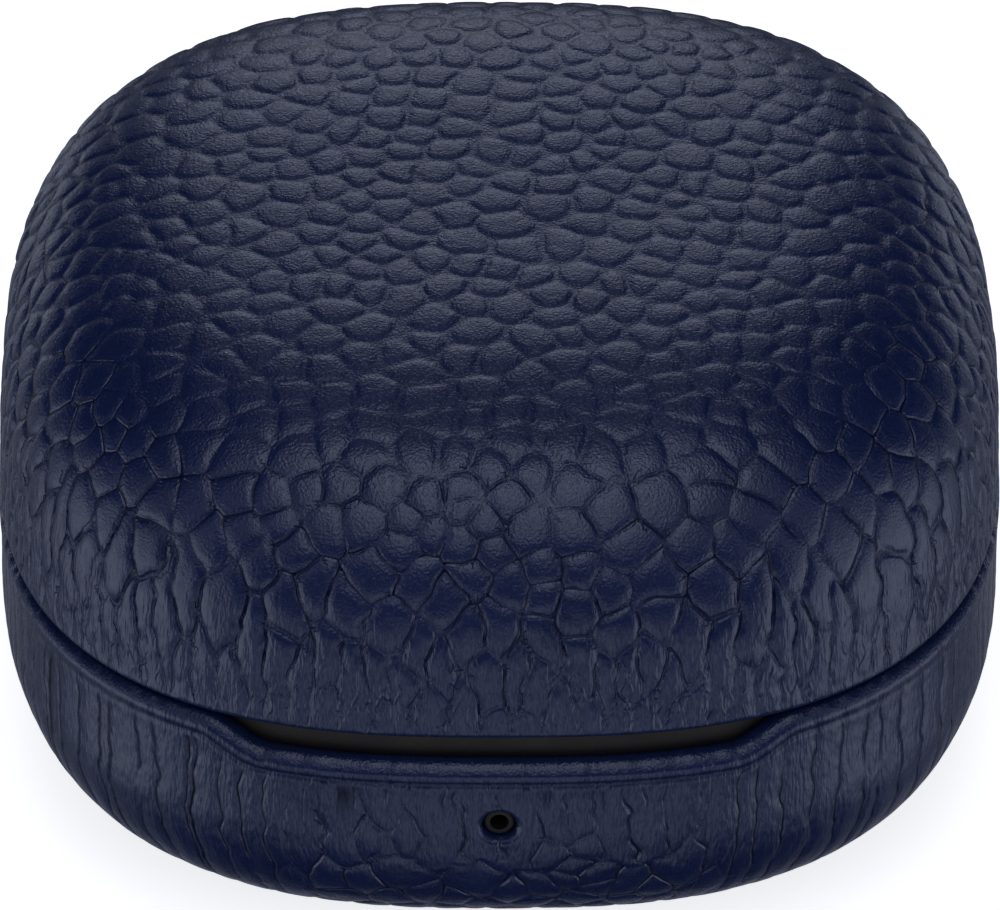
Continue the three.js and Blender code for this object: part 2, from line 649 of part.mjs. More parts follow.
function addUsbSocket() {
  const back = USB_MOUTH_Y - USB_LENGTH;
  const can = frontExtrusion(usbOutline(USB_WIDTH / 2, USB_HEIGHT / 2), back, USB_MOUTH_Y, 4);
  const mouth = frontExtrusion(
    usbOutline(USB_WIDTH / 2 - USB_WALL, USB_HEIGHT / 2 - USB_WALL), back + 0.9, FAR, 4,
  );
  piece("usb_c_shell", can.subtract(mouth), STEEL);
  const tongue = block({
    x: [-TONGUE_WIDTH / 2, TONGUE_WIDTH / 2],
    y: [back + 1.0, USB_MOUTH_Y - 0.8],
    z: [USB_Z - TONGUE_HEIGHT / 2, USB_Z + TONGUE_HEIGHT / 2],
  });
  piece("usb_c_tongue", tongue, CHIP_BLACK);
}

// ---- Indicators: two LEDs and the clear guides that lead their light out ----

function addIndicators() {
  const ledZ = CONTACT_BOARD_TOP + SEAT_GAP + 0.3;
  piece("status_led", centredBlock([0, STATUS_LED_Y, ledZ], [1.6, 0.8, 0.6]), CLEAR_GUIDE);
  piece("inner_led", centredBlock([0, INNER_LED_Y, ledZ], [1.6, 0.8, 0.6]), CLEAR_GUIDE);
  const guideZ = ledZ + 0.4;

  const path = new THREE.CurvePath();
  const corner = new THREE.Vector3(0, STATUS_LED_Y, INDICATOR_Z);
  const bendStart = new THREE.Vector3(0, STATUS_LED_Y, INDICATOR_Z - PIPE_BEND);
  const bendEnd = new THREE.Vector3(0, STATUS_LED_Y - PIPE_BEND, INDICATOR_Z);
  path.add(new THREE.LineCurve3(new THREE.Vector3(0, STATUS_LED_Y, guideZ), bendStart));
  path.add(new THREE.QuadraticBezierCurve3(bendStart, corner, bendEnd));
  path.add(new THREE.LineCurve3(bendEnd, new THREE.Vector3(0, -DEPTH / 2 + CASE_INSET + 0.1, INDICATOR_Z)));
  const section = new THREE.Shape();
  section.absarc(0, 0, PIPE_RADIUS, 0, 2 * Math.PI);
  const guide = new THREE.ExtrudeGeometry(section, {
    steps: 18, extrudePath: path, bevelEnabled: false, curveSegments: 6,
  });
  piece("status_light_guide", solidOf(guide), CLEAR_GUIDE);
  const inner = rod(PIPE_RADIUS, [0, INNER_LED_Y, guideZ], [0, INNER_LED_Y, DECK_TOP + 0.05], 12);
  piece("inner_light_guide", inner, CLEAR_GUIDE);
}

// ---- Sprung charging contacts, two in each well ----

function addContact({ name, x }) {
  const barrel = turned(
    [
      [0, BARREL_BOTTOM], [BARREL_RADIUS, BARREL_BOTTOM], [BARREL_RADIUS, BARREL_TOP],
      [BARREL_MOUTH, BARREL_TOP], [BARREL_MOUTH, BARREL_SHOULDER], [BARREL_BORE, BARREL_SHOULDER],
      [BARREL_BORE, BARREL_BOTTOM + 0.2], [0, BARREL_BOTTOM + 0.2],
    ],
    x, CONTACT_Y, 12,
  );
  piece(`contact_barrel_${name}`, barrel, GOLD);
  const plunger = turned(
    [
      [0, PLUNGER_BOTTOM], [PLUNGER_FLANGE, PLUNGER_BOTTOM], [PLUNGER_FLANGE, PLUNGER_SHOULDER],
      [PLUNGER_STEM, PLUNGER_SHOULDER], [PLUNGER_STEM, PLUNGER_TIP - 0.2],
      [0.6 * PLUNGER_STEM, PLUNGER_TIP - 0.04], [0, PLUNGER_TIP],
    ],
    x, CONTACT_Y, 10,
  );
  piece(`contact_plunger_${name}`, plunger, GOLD);
  const springFoot = BARREL_BOTTOM + 0.2 + 2 * CONTACT_SPRING_WIRE;
  const springTop = PLUNGER_BOTTOM - 2 * CONTACT_SPRING_WIRE;
  const spring = coilSpring(
    (share, turn) => new THREE.Vector3(
      x + CONTACT_SPRING_COIL * Math.cos(turn),
      CONTACT_Y + CONTACT_SPRING_COIL * Math.sin(turn),
      springFoot + (springTop - springFoot) * share,
    ),
    CONTACT_SPRING_TURNS, 8, CONTACT_SPRING_WIRE, 4,
  );
  piece(`contact_spring_${name}`, spring, STEEL);
}

// ---- Magnets and the pads that press on the earbuds ----

function addMagnetsAndPads() {
  for (const [sideName, side] of Object.entries(SIDES)) {
    const closing = (z) => centredBlock([side * CLOSE_MAGNET.x, CLOSE_MAGNET.y, z], CLOSE_MAGNET.size);
    piece(`base_magnet_${sideName}`, closing(BASE_MAGNET_Z), STEEL);
    piece(`lid_magnet_${sideName}`, closing(LID_MAGNET_Z), STEEL);
    const budMagnet = centredBlock([side * BUD_MAGNET.x, BUD_MAGNET.y, BUD_MAGNET.z], BUD_MAGNET.size);
    piece(`bud_magnet_${sideName}`, budMagnet, STEEL);

    const pad = new THREE.Shape();
    pad.absellipse(side * WELL_X, 0, PAD_HALF_WIDTH, PAD_HALF_LENGTH, 0, 2 * Math.PI);
    const slab = new THREE.ExtrudeGeometry(pad, { depth: PAD_THICK, bevelEnabled: false, curveSegments: 10 });
    slab.translate(0, 0, HOLLOW_CEILING - SEAT_GAP - PAD_THICK);
    piece(`bud_pad_${sideName}`, solidOf(slab), SILICONE);
  }
  const sensorMagnet = rod(
    SENSOR_MAGNET.radius, [0, SENSOR_MAGNET.y, SENSOR_MAGNET.z[0]], [0, SENSOR_MAGNET.y, SENSOR_MAGNET.z[1]], 16,
  );
  piece("sensor_magnet", sensorMagnet, STEEL);
}

addBaseCover();
addLidCover();
addCaseBaseShell();
addCaseLidShell();
addHinge();
addTray();
addLiner();
addPower();
addBoards();
addFlex();
addUsbSocket();
addIndicators();
CONTACTS.forEach(addContact);
addMagnetsAndPads();

export default earbudsCase;
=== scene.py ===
"""Looks of the leather-covered earbuds case. Lengths are millimetres until a mesh is made, then metres."""

import json
from math import cos, pi, radians, sin

import bmesh
import bpy
import numpy as np
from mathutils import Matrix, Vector, kdtree


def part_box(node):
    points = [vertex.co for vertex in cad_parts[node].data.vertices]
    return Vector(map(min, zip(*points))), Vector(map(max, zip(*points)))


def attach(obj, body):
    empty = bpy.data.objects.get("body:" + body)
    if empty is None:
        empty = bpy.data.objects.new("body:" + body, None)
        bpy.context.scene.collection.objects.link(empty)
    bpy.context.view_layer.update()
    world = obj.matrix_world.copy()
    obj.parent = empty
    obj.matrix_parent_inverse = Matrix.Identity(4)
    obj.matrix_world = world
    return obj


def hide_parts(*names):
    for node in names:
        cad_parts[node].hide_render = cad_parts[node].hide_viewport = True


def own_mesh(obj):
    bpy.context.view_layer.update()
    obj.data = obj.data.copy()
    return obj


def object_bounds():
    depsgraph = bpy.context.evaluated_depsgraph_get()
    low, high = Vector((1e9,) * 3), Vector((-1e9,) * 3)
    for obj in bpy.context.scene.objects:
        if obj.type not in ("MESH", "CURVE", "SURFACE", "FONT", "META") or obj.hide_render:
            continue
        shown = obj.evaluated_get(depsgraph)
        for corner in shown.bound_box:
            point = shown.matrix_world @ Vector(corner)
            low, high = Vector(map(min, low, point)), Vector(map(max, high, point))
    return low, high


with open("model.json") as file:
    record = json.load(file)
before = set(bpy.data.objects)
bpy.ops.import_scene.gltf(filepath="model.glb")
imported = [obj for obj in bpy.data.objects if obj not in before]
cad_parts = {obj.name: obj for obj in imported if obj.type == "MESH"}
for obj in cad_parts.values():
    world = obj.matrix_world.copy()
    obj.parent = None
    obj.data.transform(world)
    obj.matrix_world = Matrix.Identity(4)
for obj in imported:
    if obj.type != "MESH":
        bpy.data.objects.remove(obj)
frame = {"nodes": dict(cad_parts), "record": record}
cad_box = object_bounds()

MM = 0.001


def node_box(name):
    """Lowest and highest corner of a CAD node, in millimetres."""
    low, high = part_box(name)
    return np.array(low) / MM, np.array(high) / MM


# ---- The form: a pillow with superellipse sections ----
HALF_WIDTH = node_box("base_leather")[1][0]
HALF_DEPTH = HALF_WIDTH + 0.1
HEIGHT = node_box("lid_leather")[1][2]
BASE_TOP = node_box("base_leather")[1][2]
LID_BOTTOM = node_box("lid_leather")[0][2]
WIDEST_Z = 9.6
FOOT_SHARE = 0.69
PLAN_EXPONENT = 2.65
DOME_EXPONENT = 4.8
LEATHER = 1.0
COVER_INSET = 1.1
CASE_INSET = 1.8
ROOM_INSET = 3.2

# ---- Openings in the cover ----
NOTCH_TOP_HALF = 15.8
NOTCH_BOTTOM_HALF = 12.4
NOTCH_DEPTH = 1.4
INDICATOR_Z = 9.8
INDICATOR_HOLE = 0.93
HINGE_CUT_HALF = 14.0
HINGE_CUT_BOTTOM = 13.0
HINGE_CUT_TOP = 17.7
HINGE_CUT_SLOPE = 0.9
USB_CUT_HALF_WIDTH = 6.2
USB_CUT_HALF_HEIGHT = 2.9
USB_Z = (node_box("usb_c_shell")[0][2] + node_box("usb_c_shell")[1][2]) / 2

INDICATOR_RING = 0.83  # outer radius of the cover shell's raised ring
INDICATOR_EYE = 0.5
RING_PROUD = 0.55
COVER_WALL = 0.6

# ---- Hinge ----
HINGE_Y = HALF_DEPTH - CASE_INSET
HINGE_Z = (BASE_TOP + LID_BOTTOM) / 2
BARREL = 1.65
SCOOP = 1.95
LID_KNUCKLE_HALF = 6.3
BASE_KNUCKLE = (6.5, 11.0)
CAP = (11.05, 11.55)
CAP_RADIUS = 1.5
PIN_BORE = 0.58
SPRING_ROOM = 1.15  # radius of the lid knuckle's bore round the hinge spring
BLOCK_HALF = 12.4
BLOCK_FRONT = 22.2
BLOCK_BACK = 24.6
BASE_BLOCK_BOTTOM = 11.5
LID_BLOCK_TOP = 19.2
BLOCK_GAP = 0.2

# ---- Inside ----
DECK_INSET = 3.3
DECK_BOTTOM, DECK_TOP = 13.8, 15.0
WELL_X = 11.4
WELL_HALF_WIDTH = 8.6
WELL_HALF_LENGTH = 14.0
WELL_WAIST = 1.5
WELL_WALL = 0.8
WELL_FLOOR_SHARE = 0.72
WELL_EXPONENT = 2.2
WELL_FLOOR = 8.3
LINER_BOTTOM, LINER_TOP = 15.7, 16.8
HOLLOW_CEILING = 23.8
CONTACT_X = (-13.0, -9.8, 9.8, 13.0)
CONTACT_Y = -8.7
PLUNGER_STEM = 0.32
PLUNGER_SHOULDER = 7.9
SPRING_WIRE = 0.055
SPRING_TURNS = 4
CONTACT_BORE = 0.85  # the tray's bore round a contact
BORE_MOUTH, STEM_BORE, FLANGE_BORE, BORE_STEP = 0.42, 0.38, 0.52, 8.0  # inside a contact's barrel
LIGHT_GUIDE = 0.7
INNER_LIGHT_Y = -15.6
SCREW_X, SCREW_Y = 12.0, 16.0
SCREW_POST = 1.3
SCREW_POST_TOP = 6.15
SCREW_BORE, SCREW_BORE_BOTTOM = 0.5, 3.9
LIGHT_BORE = 0.82
FAR = 40  # beyond the outside of the case, for cutters
USB_HALF_WIDTH = 4.47
USB_HALF_HEIGHT = 1.63
USB_WALL = 0.3
USB_GAP = 0.18

# ---- Leather ----
PATCH_RINGS = 144  # square rings over the top or foot; a ring of index r has 8 r points
COLUMNS = 8 * PATCH_RINGS
PATCH_SHARE = 0.8  # plan share of the form where the rings end and the wall's columns begin
ROW_STEP = 0.16
LID_ROLL = 0.45  # radius that the lid's lower edge is turned in with
LIP_ROLL = 0.75  # the same for the base's upper lip
LIP_CREASE = 1.25  # from the lip's edge down to the crease under it
SEED = 11


# ---- Small numeric tools ----


def ease(low, high, value):
    share = np.clip((value - low) / (high - low), 0.0, 1.0)
    return share * share * (3 - 2 * share)


def mix(a, b, share):
    return a + (b - a) * share


def lattice_value(cell, seed):
    """A steady pseudo-random number from 0 to 1 for each whole-number cell."""
    mixed = cell[:, 0] * 127.1 + cell[:, 1] * 311.7 + cell[:, 2] * 74.7 + seed * 57.3
    return np.modf(np.abs(np.sin(mixed) * 43758.5453))[0]


def noise(points, size, seed):
    """Smooth noise from -1 to 1 that changes over about size millimetres along each axis."""
    scaled = points / size
    corner = np.floor(scaled)
    share = scaled - corner
    share = share * share * (3 - 2 * share)
    total = np.zeros(len(points))
    for offset in np.ndindex(2, 2, 2):
        weight = np.ones(len(points))
        for axis in range(3):
            weight *= share[:, axis] if offset[axis] else 1 - share[:, axis]
        total += weight * lattice_value(corner + np.array(offset), seed)
    return 2 * total - 1


def bell(away, width):
    return np.exp(-((away / width) ** 2))


def full_turn(count):
    """Even angles once round."""
    return np.linspace(0, 2 * pi, count, endpoint=False)


def unit(vectors):
    return vectors / np.maximum(np.linalg.norm(vectors, axis=-1, keepdims=True), 1e-9)


# ---- The form's surface ----


def outline_radius(angle, half_width, half_depth):
    across = np.abs(np.cos(angle) / half_width) ** PLAN_EXPONENT
    along = np.abs(np.sin(angle) / half_depth) ** PLAN_EXPONENT
    return (across + along) ** (-1 / PLAN_EXPONENT)


def even_turns():
    """Angles of even steps along the outline, from -X round by the front, and the outline's length."""
    fine = np.linspace(-pi, pi, 4001)
    radius = outline_radius(fine, HALF_WIDTH, HALF_DEPTH)
    points = np.stack([radius * np.cos(fine), radius * np.sin(fine)], -1)
    length = np.concatenate([[0], np.cumsum(np.linalg.norm(np.diff(points, axis=0), axis=1))])
    even = np.interp(np.linspace(0, length[-1], COLUMNS + 1), length, fine)
    return even, length[-1]


TURN_ANGLES, OUTLINE_LENGTH = even_turns()


def angle_at(turn):
    """The angle at a share of the way along the outline."""
    return np.interp(turn * COLUMNS, np.arange(COLUMNS + 1), TURN_ANGLES)


def share_at(z, inset):
    """Plan share of the form at height z, for the layer set in by inset."""
    rise = np.clip((z - WIDEST_Z) / (HEIGHT - inset - WIDEST_Z), 0, 1)
    drop = np.clip((WIDEST_Z - z) / (WIDEST_Z - inset), 0, 1)
    dome = (1 - rise**DOME_EXPONENT) ** (1 / DOME_EXPONENT)
    belly = FOOT_SHARE + (1 - FOOT_SHARE) * np.sqrt(1 - drop**2)
    return np.where(z >= WIDEST_Z, dome, belly)


def dome_height(share, inset):
    rise = (1 - np.clip(share, 0, 1) ** DOME_EXPONENT) ** (1 / DOME_EXPONENT)
    return WIDEST_Z + (HEIGHT - inset - WIDEST_Z) * rise


def place(angle, share, z, inset):
    radius = outline_radius(angle, HALF_WIDTH - inset, HALF_DEPTH - inset) * share
    return np.stack([radius * np.cos(angle), radius * np.sin(angle), z + 0 * radius], -1)


class Surface:
    """Points and faces gathered into one mesh."""

    def __init__(self):
        self.points = []
        self.quads = []
        self.tris = []
        self.count = 0

    def add(self, points):
        start = self.count
        self.points.append(points.reshape(-1, 3))
        self.count += len(self.points[-1])
        return np.arange(start, self.count).reshape(points.shape[:-1])

    def bands(self, rings):
        """Quads between each closed ring of indices and the next."""
        for a, d in zip(rings[:-1], rings[1:]):
            self.quads.append(np.stack([a, d, np.roll(d, -1), np.roll(a, -1)], -1))

    def taper(self, fine, coarse):
        """Closes a fine ring onto one with half as many points."""
        pair = fine.reshape(-1, 2)
        ahead = np.roll(coarse, -1)
        corner = np.roll(pair[:, 0], -1)
        self.tris.append(np.stack([pair[:, 0], coarse, pair[:, 1]], -1))
        self.tris.append(np.stack([pair[:, 1], coarse, ahead], -1))
        self.tris.append(np.stack([pair[:, 1], ahead, corner], -1))

    def patch(self, rim, place_ring):
        """A square lattice that fills a ring of indices. place_ring(share of the way out, turn)."""
        rings = len(rim) // 8
        side = np.arange(-rings, rings + 1)
        i, j = np.meshgrid(side, side, indexing="ij")
        ring = np.maximum(abs(i), abs(j))
        turn = square_turn(i, j, ring)
        inside = ring < rings
        index = np.empty(ring.shape, int)
        index[inside] = self.add(place_ring(ring[inside] / rings, turn[inside]))
        order = np.round(turn[~inside] * 8 * rings).astype(int) % (8 * rings)
        index[~inside] = rim[order]
        corners = [index[:-1, :-1], index[1:, :-1], index[1:, 1:], index[:-1, 1:]]
        self.quads.append(np.stack(corners, -1).reshape(-1, 4))
        return index[inside]

    def all_points(self):
        return np.concatenate(self.points)


def square_turn(i, j, ring):
    """The share of a turn round a square ring, from the middle of its -X side by its -Y side."""
    front = (j == -ring) & (i < ring)
    right = (i == ring) & (j < ring)
    back = (j == ring) & (i > -ring)
    step = np.select(
        [front, right, back],
        [i + ring, 3 * ring + j, 5 * ring - i],
        7 * ring - j,
    )
    return (step / (8 * np.maximum(ring, 1)) + 1 / 8) % 1.0


def mesh_object(name, points, faces, body):
    """A mesh object from millimetre points, riding on a CAD body."""
    mesh = bpy.data.meshes.new(name)
    mesh.from_pydata((points * MM).tolist(), [], faces)
    shape = bmesh.new()
    shape.from_mesh(mesh)
    bmesh.ops.recalc_face_normals(shape, faces=shape.faces)
    shape.to_mesh(mesh)
    shape.free()
    piece = bpy.data.objects.new(name, mesh)
    bpy.context.collection.objects.link(piece)
    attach(piece, body)
    return piece


def mesh_vectors(piece, values="vertices", key="co"):
    """The place of each point of a piece's mesh, in metres, or its normal."""
    flat = np.empty(len(piece.data.vertices) * 3, np.float32)
    getattr(piece.data, values).foreach_get(key, flat)
    return flat.reshape(-1, 3).astype(float)


def point_values(piece, **named):
    """Stores a number or a vector at each point of a piece's mesh, under each name."""
    for name, values in named.items():
        kind, key = ("FLOAT", "value") if values.ndim == 1 else ("FLOAT_VECTOR", "vector")
        data = piece.data.attributes.new(name, kind, "POINT").data
        data.foreach_set(key, values.astype(np.float32).ravel())


def smooth_shading(piece, degrees):
    """Shades a piece smooth, apart from edges sharper than an angle."""
    piece.data.shade_smooth()
    piece.data.set_sharp_from_angle(angle=radians(degrees))


def surface_normals(points, skin):
    """Point normals of an open grid surface, pointing away from the form's middle."""
    quads = np.concatenate(skin.quads + [np.concatenate([t, t[:, 2:]], -1) for t in skin.tris])
    a, b, c, d = (points[quads[:, k]] for k in range(4))
    face = np.cross(c - a, d - b)
    outward = a + b + c + d - 4 * np.array([0, 0, WIDEST_Z + 2])
    face *= np.sign(np.sum(face * outward, axis=1))[:, None]
    total = np.stack(
        [np.bincount(quads.ravel(), np.repeat(face[:, axis], 4), len(points)) for axis in range(3)], -1
    )
    return unit(total)


# ---- The cover's edges ----


def front_dip(x):
    """How far the finger notch lowers the base's edge at x."""
    return NOTCH_DEPTH * (1 - ease(NOTCH_BOTTOM_HALF, NOTCH_TOP_HALF, np.abs(x)))


def notch_share(points):
    """1 in front of the finger notch, falling to 0.2 round the rest of the lip."""
    return mix(0.2, 1.0, ease(21, 16, np.abs(points[:, 0])) * (points[:, 1] < 0))


def hinge_share(x):
    return 1 - ease(HINGE_CUT_HALF - HINGE_CUT_SLOPE, HINGE_CUT_HALF, np.abs(x))


def skin_edge(columns, on_base):
    """Height of a leather skin's edge at each column."""
    level, opened = (BASE_TOP, HINGE_CUT_BOTTOM) if on_base else (LID_BOTTOM, HINGE_CUT_TOP)
    points = place(columns, share_at(np.full(len(columns), level), 0), level, 0)
    x, at_back = points[:, 0], points[:, 1] > 0
    return level + np.where(at_back, (opened - level) * hinge_share(x), -front_dip(x) * on_base)


def edge_distance(z, edge):
    """How far each point of a wall grid (rows, columns) is from the edge line."""
    step = OUTLINE_LENGTH / COLUMNS
    best = np.full(z.shape, 1e9)
    for offset in range(-10, 11):
        away = np.hypot(z - np.roll(edge, offset)[None, :], offset * step)
        best = np.minimum(best, away)
    return best


# ---- Pebbles ----


def tensor(points, normals, on_base):
    """For each point, the form that measures distance in pebble radii, and the pebbles' height over width."""
    up = np.array([0.0, 0.0, 1.0])
    steep = 1 - np.abs(normals[:, 2])
    side = unit(np.cross(up, normals) + 1e-6)
    rise = np.cross(normals, side)
    corner = ease(0.5, 0.95, np.abs(np.sin(2 * np.arctan2(points[:, 1], points[:, 0]))))
    if on_base:
        pebbled = base_pebbled(points)
        across = mix(0.88, 1.0, pebbled)
        along = mix(5.5, 1.1, pebbled)
    else:
        down = ease(25.5, 19.0, points[:, 2])
        across = mix(1.06, 0.76, down)
        along = mix(1.1, 1.9, down) * (1 + 0.75 * corner * ease(0.3, 0.9, steep))
    twist = 0.45 * noise(points, 6.0, 3) * mix(1.0, 0.3, ease(0.5, 0.9, steep))
    first = unit(side * np.cos(twist)[:, None] + rise * np.sin(twist)[:, None])
    second = np.cross(normals, first)
    wall = outer(first) / across[:, None, None] ** 2 + outer(second) / along[:, None, None] ** 2
    flat_first = unit(np.stack([np.cos(twist), np.sin(twist), 0 * twist], -1))
    flat_second = np.cross(up, flat_first)
    flat = outer(flat_first) / 1.15**2 + outer(flat_second) / 1.08**2
    blend = ease(0.06, 0.35, steep)[:, None, None]
    size = (1 + 0.2 * noise(points, 4.0, 8))[:, None, None]
    aspect = mix(1.0, along / across, blend[:, 0, 0])
    return (mix(flat, wall, blend) + outer(normals) / 4.0) / size**2, aspect


def base_pebbled(points):
    """How much of the base has pebbles, not creases: low in the middle of the front, and under the belly."""
    front = ease(14, 8, np.abs(points[:, 0])) * (points[:, 1] < 0)
    return np.maximum(front * ease(12.5, 9.5, points[:, 2]), ease(3.5, 1.0, points[:, 2]))


def outer(vectors):
    return vectors[:, :, None] * vectors[:, None, :]


def scatter(points, forms, rng):
    """Picks points that lie about two pebble radii apart, with a few small ones between."""
    order = rng.permutation(len(points))
    free = np.ones(len(points), bool)
    chosen = []
    for k in order:
        if not free[k]:
            continue
        chosen.append(k)
        away = points - points[k]
        reach = np.sum((away @ forms[k]) * away, axis=1)
        spacing = 1.05 if rng.random() < 0.12 else 1.55
        free &= reach > spacing**2
    return np.array(chosen)


def pebble_field(points, normals, on_base):
    """For each point: how far it is from its pebble's rounded border and from the line between pebbles, in
    pebble radii, how much that border runs down the wall, and the pebble's number. The line's distance has
    a sign that changes from one pebble to the next."""
    rng = np.random.default_rng(SEED + on_base)
    forms, aspect = tensor(points, normals, on_base)
    side = unit(np.cross([0.0, 0.0, 1.0], normals) + 1e-6)
    waver = 0.32 * noise(points, 1.7, 41) + 0.14 * noise(points, 0.7, 42)
    points = points + side * (waver * ease(0.3, 0.9, 1 - np.abs(normals[:, 2])))[:, None]
    points = points + 0.16 * np.stack([noise(points, 0.9, seed) for seed in (43, 44, 45)], -1)
    pool = rng.choice(len(points), 26000, replace=False)
    seeds = pool[scatter(points[pool], forms[pool], rng)]
    tree = kdtree.KDTree(len(seeds))
    for n, k in enumerate(seeds):
        tree.insert(points[k], n)
    tree.balance()
    near = np.array([[hit[1] for hit in tree.find_n(p, 12)] for p in points.tolist()])
    reach = np.empty(near.shape)
    for k in range(near.shape[1]):
        away = points - points[seeds[near[:, k]]]
        form = forms[seeds[near[:, k]]]
        reach[:, k] = np.sum((away[:, None, :] @ form)[:, 0] * away, axis=1)
    reach = np.sqrt(reach)
    order = np.argsort(reach, axis=1)[:, :6]
    reach = np.take_along_axis(reach, order, axis=1)
    near = np.take_along_axis(near, order, axis=1)
    gap = reach[:, 1:] - reach[:, :1]
    soft = -np.log(np.sum(np.exp(-4 * gap), axis=1)) / 4
    soft = np.where(soft > 0, np.hypot(soft, 0.14) - 0.14, soft)
    facing = points[seeds[near[:, 1]]] - points[seeds[near[:, 0]]]
    rise = np.abs(facing[:, 2]) / aspect
    beside = 1 - ease(0.7, 0.97, rise / np.hypot(rise, np.hypot(facing[:, 0], facing[:, 1])))
    line = gap[:, 0] / 2 * np.where(near[:, 0] < near[:, 1], 1, -1)
    return soft / 2, line, beside, near[:, 0]


def leather_relief(points, normals, on_base):
    """Height of the grain over the form, in millimetres, and the pebbles' border and its direction."""
    border, line, beside, owner = pebble_field(points, normals, on_base)
    steep = 1 - np.abs(normals[:, 2])
    wall = ease(0.3, 0.85, steep)
    lift = 0.8 + 0.4 * lattice_value(np.stack([owner, owner * 0, owner * 0], -1).astype(float), 5)
    border = border - mix(0.05, 0.0, wall) - 0.02 * noise(points, 1.3, 12) - 0.01 * noise(points, 0.4, 13)
    rounded = np.clip(border / mix(0.26, 0.42, wall), 0, 1)
    dome = np.sqrt(1 - (1 - rounded) ** 2)
    low = ease(23, 17, points[:, 2]) * wall
    if not on_base:
        dome = 1 - (1 - dome) * mix(1.0, beside, 0.85 * low)
    crown = 1 - (1 - np.clip(border, 0, 1)) ** 2
    height = mix(0.06, 0.17, wall) * (1 - 0.35 * low) * lift * dome + 0.045 * crown
    if on_base:
        height = mix(0.1, 0.75 * height, base_pebbled(points))
    along_wall = wall_coordinates(points)
    fibre = noise(along_wall * [1, 1, 0.2], 0.45, 21) + 0.8 * noise(along_wall * [1, 1, 0.25], 1.0, 22)
    height = height + 0.03 * fibre * np.maximum(low, 0.4 * wall) * (1 - 0.5 * on_base)
    height += 0.03 * noise(points, 3.1, 31) + 0.012 * noise(points, 0.6, 32)
    return height - 0.15, border, line, beside


def wall_coordinates(points):
    """Each point laid on a round drum as long round as the outline, so that creases keep to the profile."""
    turn = np.interp(np.arctan2(points[:, 1], points[:, 0]), TURN_ANGLES, np.linspace(0, 2 * pi, COLUMNS + 1))
    drum = OUTLINE_LENGTH / (2 * pi)
    return np.stack([drum * np.cos(turn), drum * np.sin(turn), points[:, 2]], -1)


# ---- The leather skins ----


def wall_rows(z_from, z_to, first_steps, step=ROW_STEP, inset=0.0):
    """Heights of a wall's rows: the given first steps off its edge, then even steps along the profile."""
    fine = np.linspace(z_from, z_to, 4000)
    run = share_at(fine, inset) * (HALF_WIDTH - inset)
    length = np.concatenate([[0], np.cumsum(np.hypot(np.diff(run), np.diff(fine)))])
    start = first_steps[-1]
    count = int(round((length[-1] - start) / step))
    stations = np.concatenate([first_steps, np.linspace(start, length[-1], count + 1)[1:]])
    return np.interp(stations, length, fine)


def roll_steps(radius, count):
    return radius * (1 - np.cos(np.linspace(0, pi / 2, count + 1)))


def rolled_in(distance, radius):
    """How far a rolled edge of this radius lies inside the form at a distance from its edge."""
    near = np.clip(distance, 0, radius)
    return radius - np.sqrt(np.maximum(radius**2 - (radius - near) ** 2, 0))


def hole_rounding(points, centre_z, half_width, half_height, at_back):
    """How far the skin is drawn in round a hole through the wall, with a round-ended outline."""
    straight = max(half_width - half_height, 0)
    across = np.maximum(np.abs(points[:, 0]) - straight, 0)
    distance = np.hypot(across, points[:, 2] - centre_z) - half_height
    side = points[:, 1] > 0 if at_back else points[:, 1] < 0
    radius = 0.35
    return np.where(side, rolled_in(np.maximum(distance, 0), radius), 0), np.where(side, distance, 9.0)


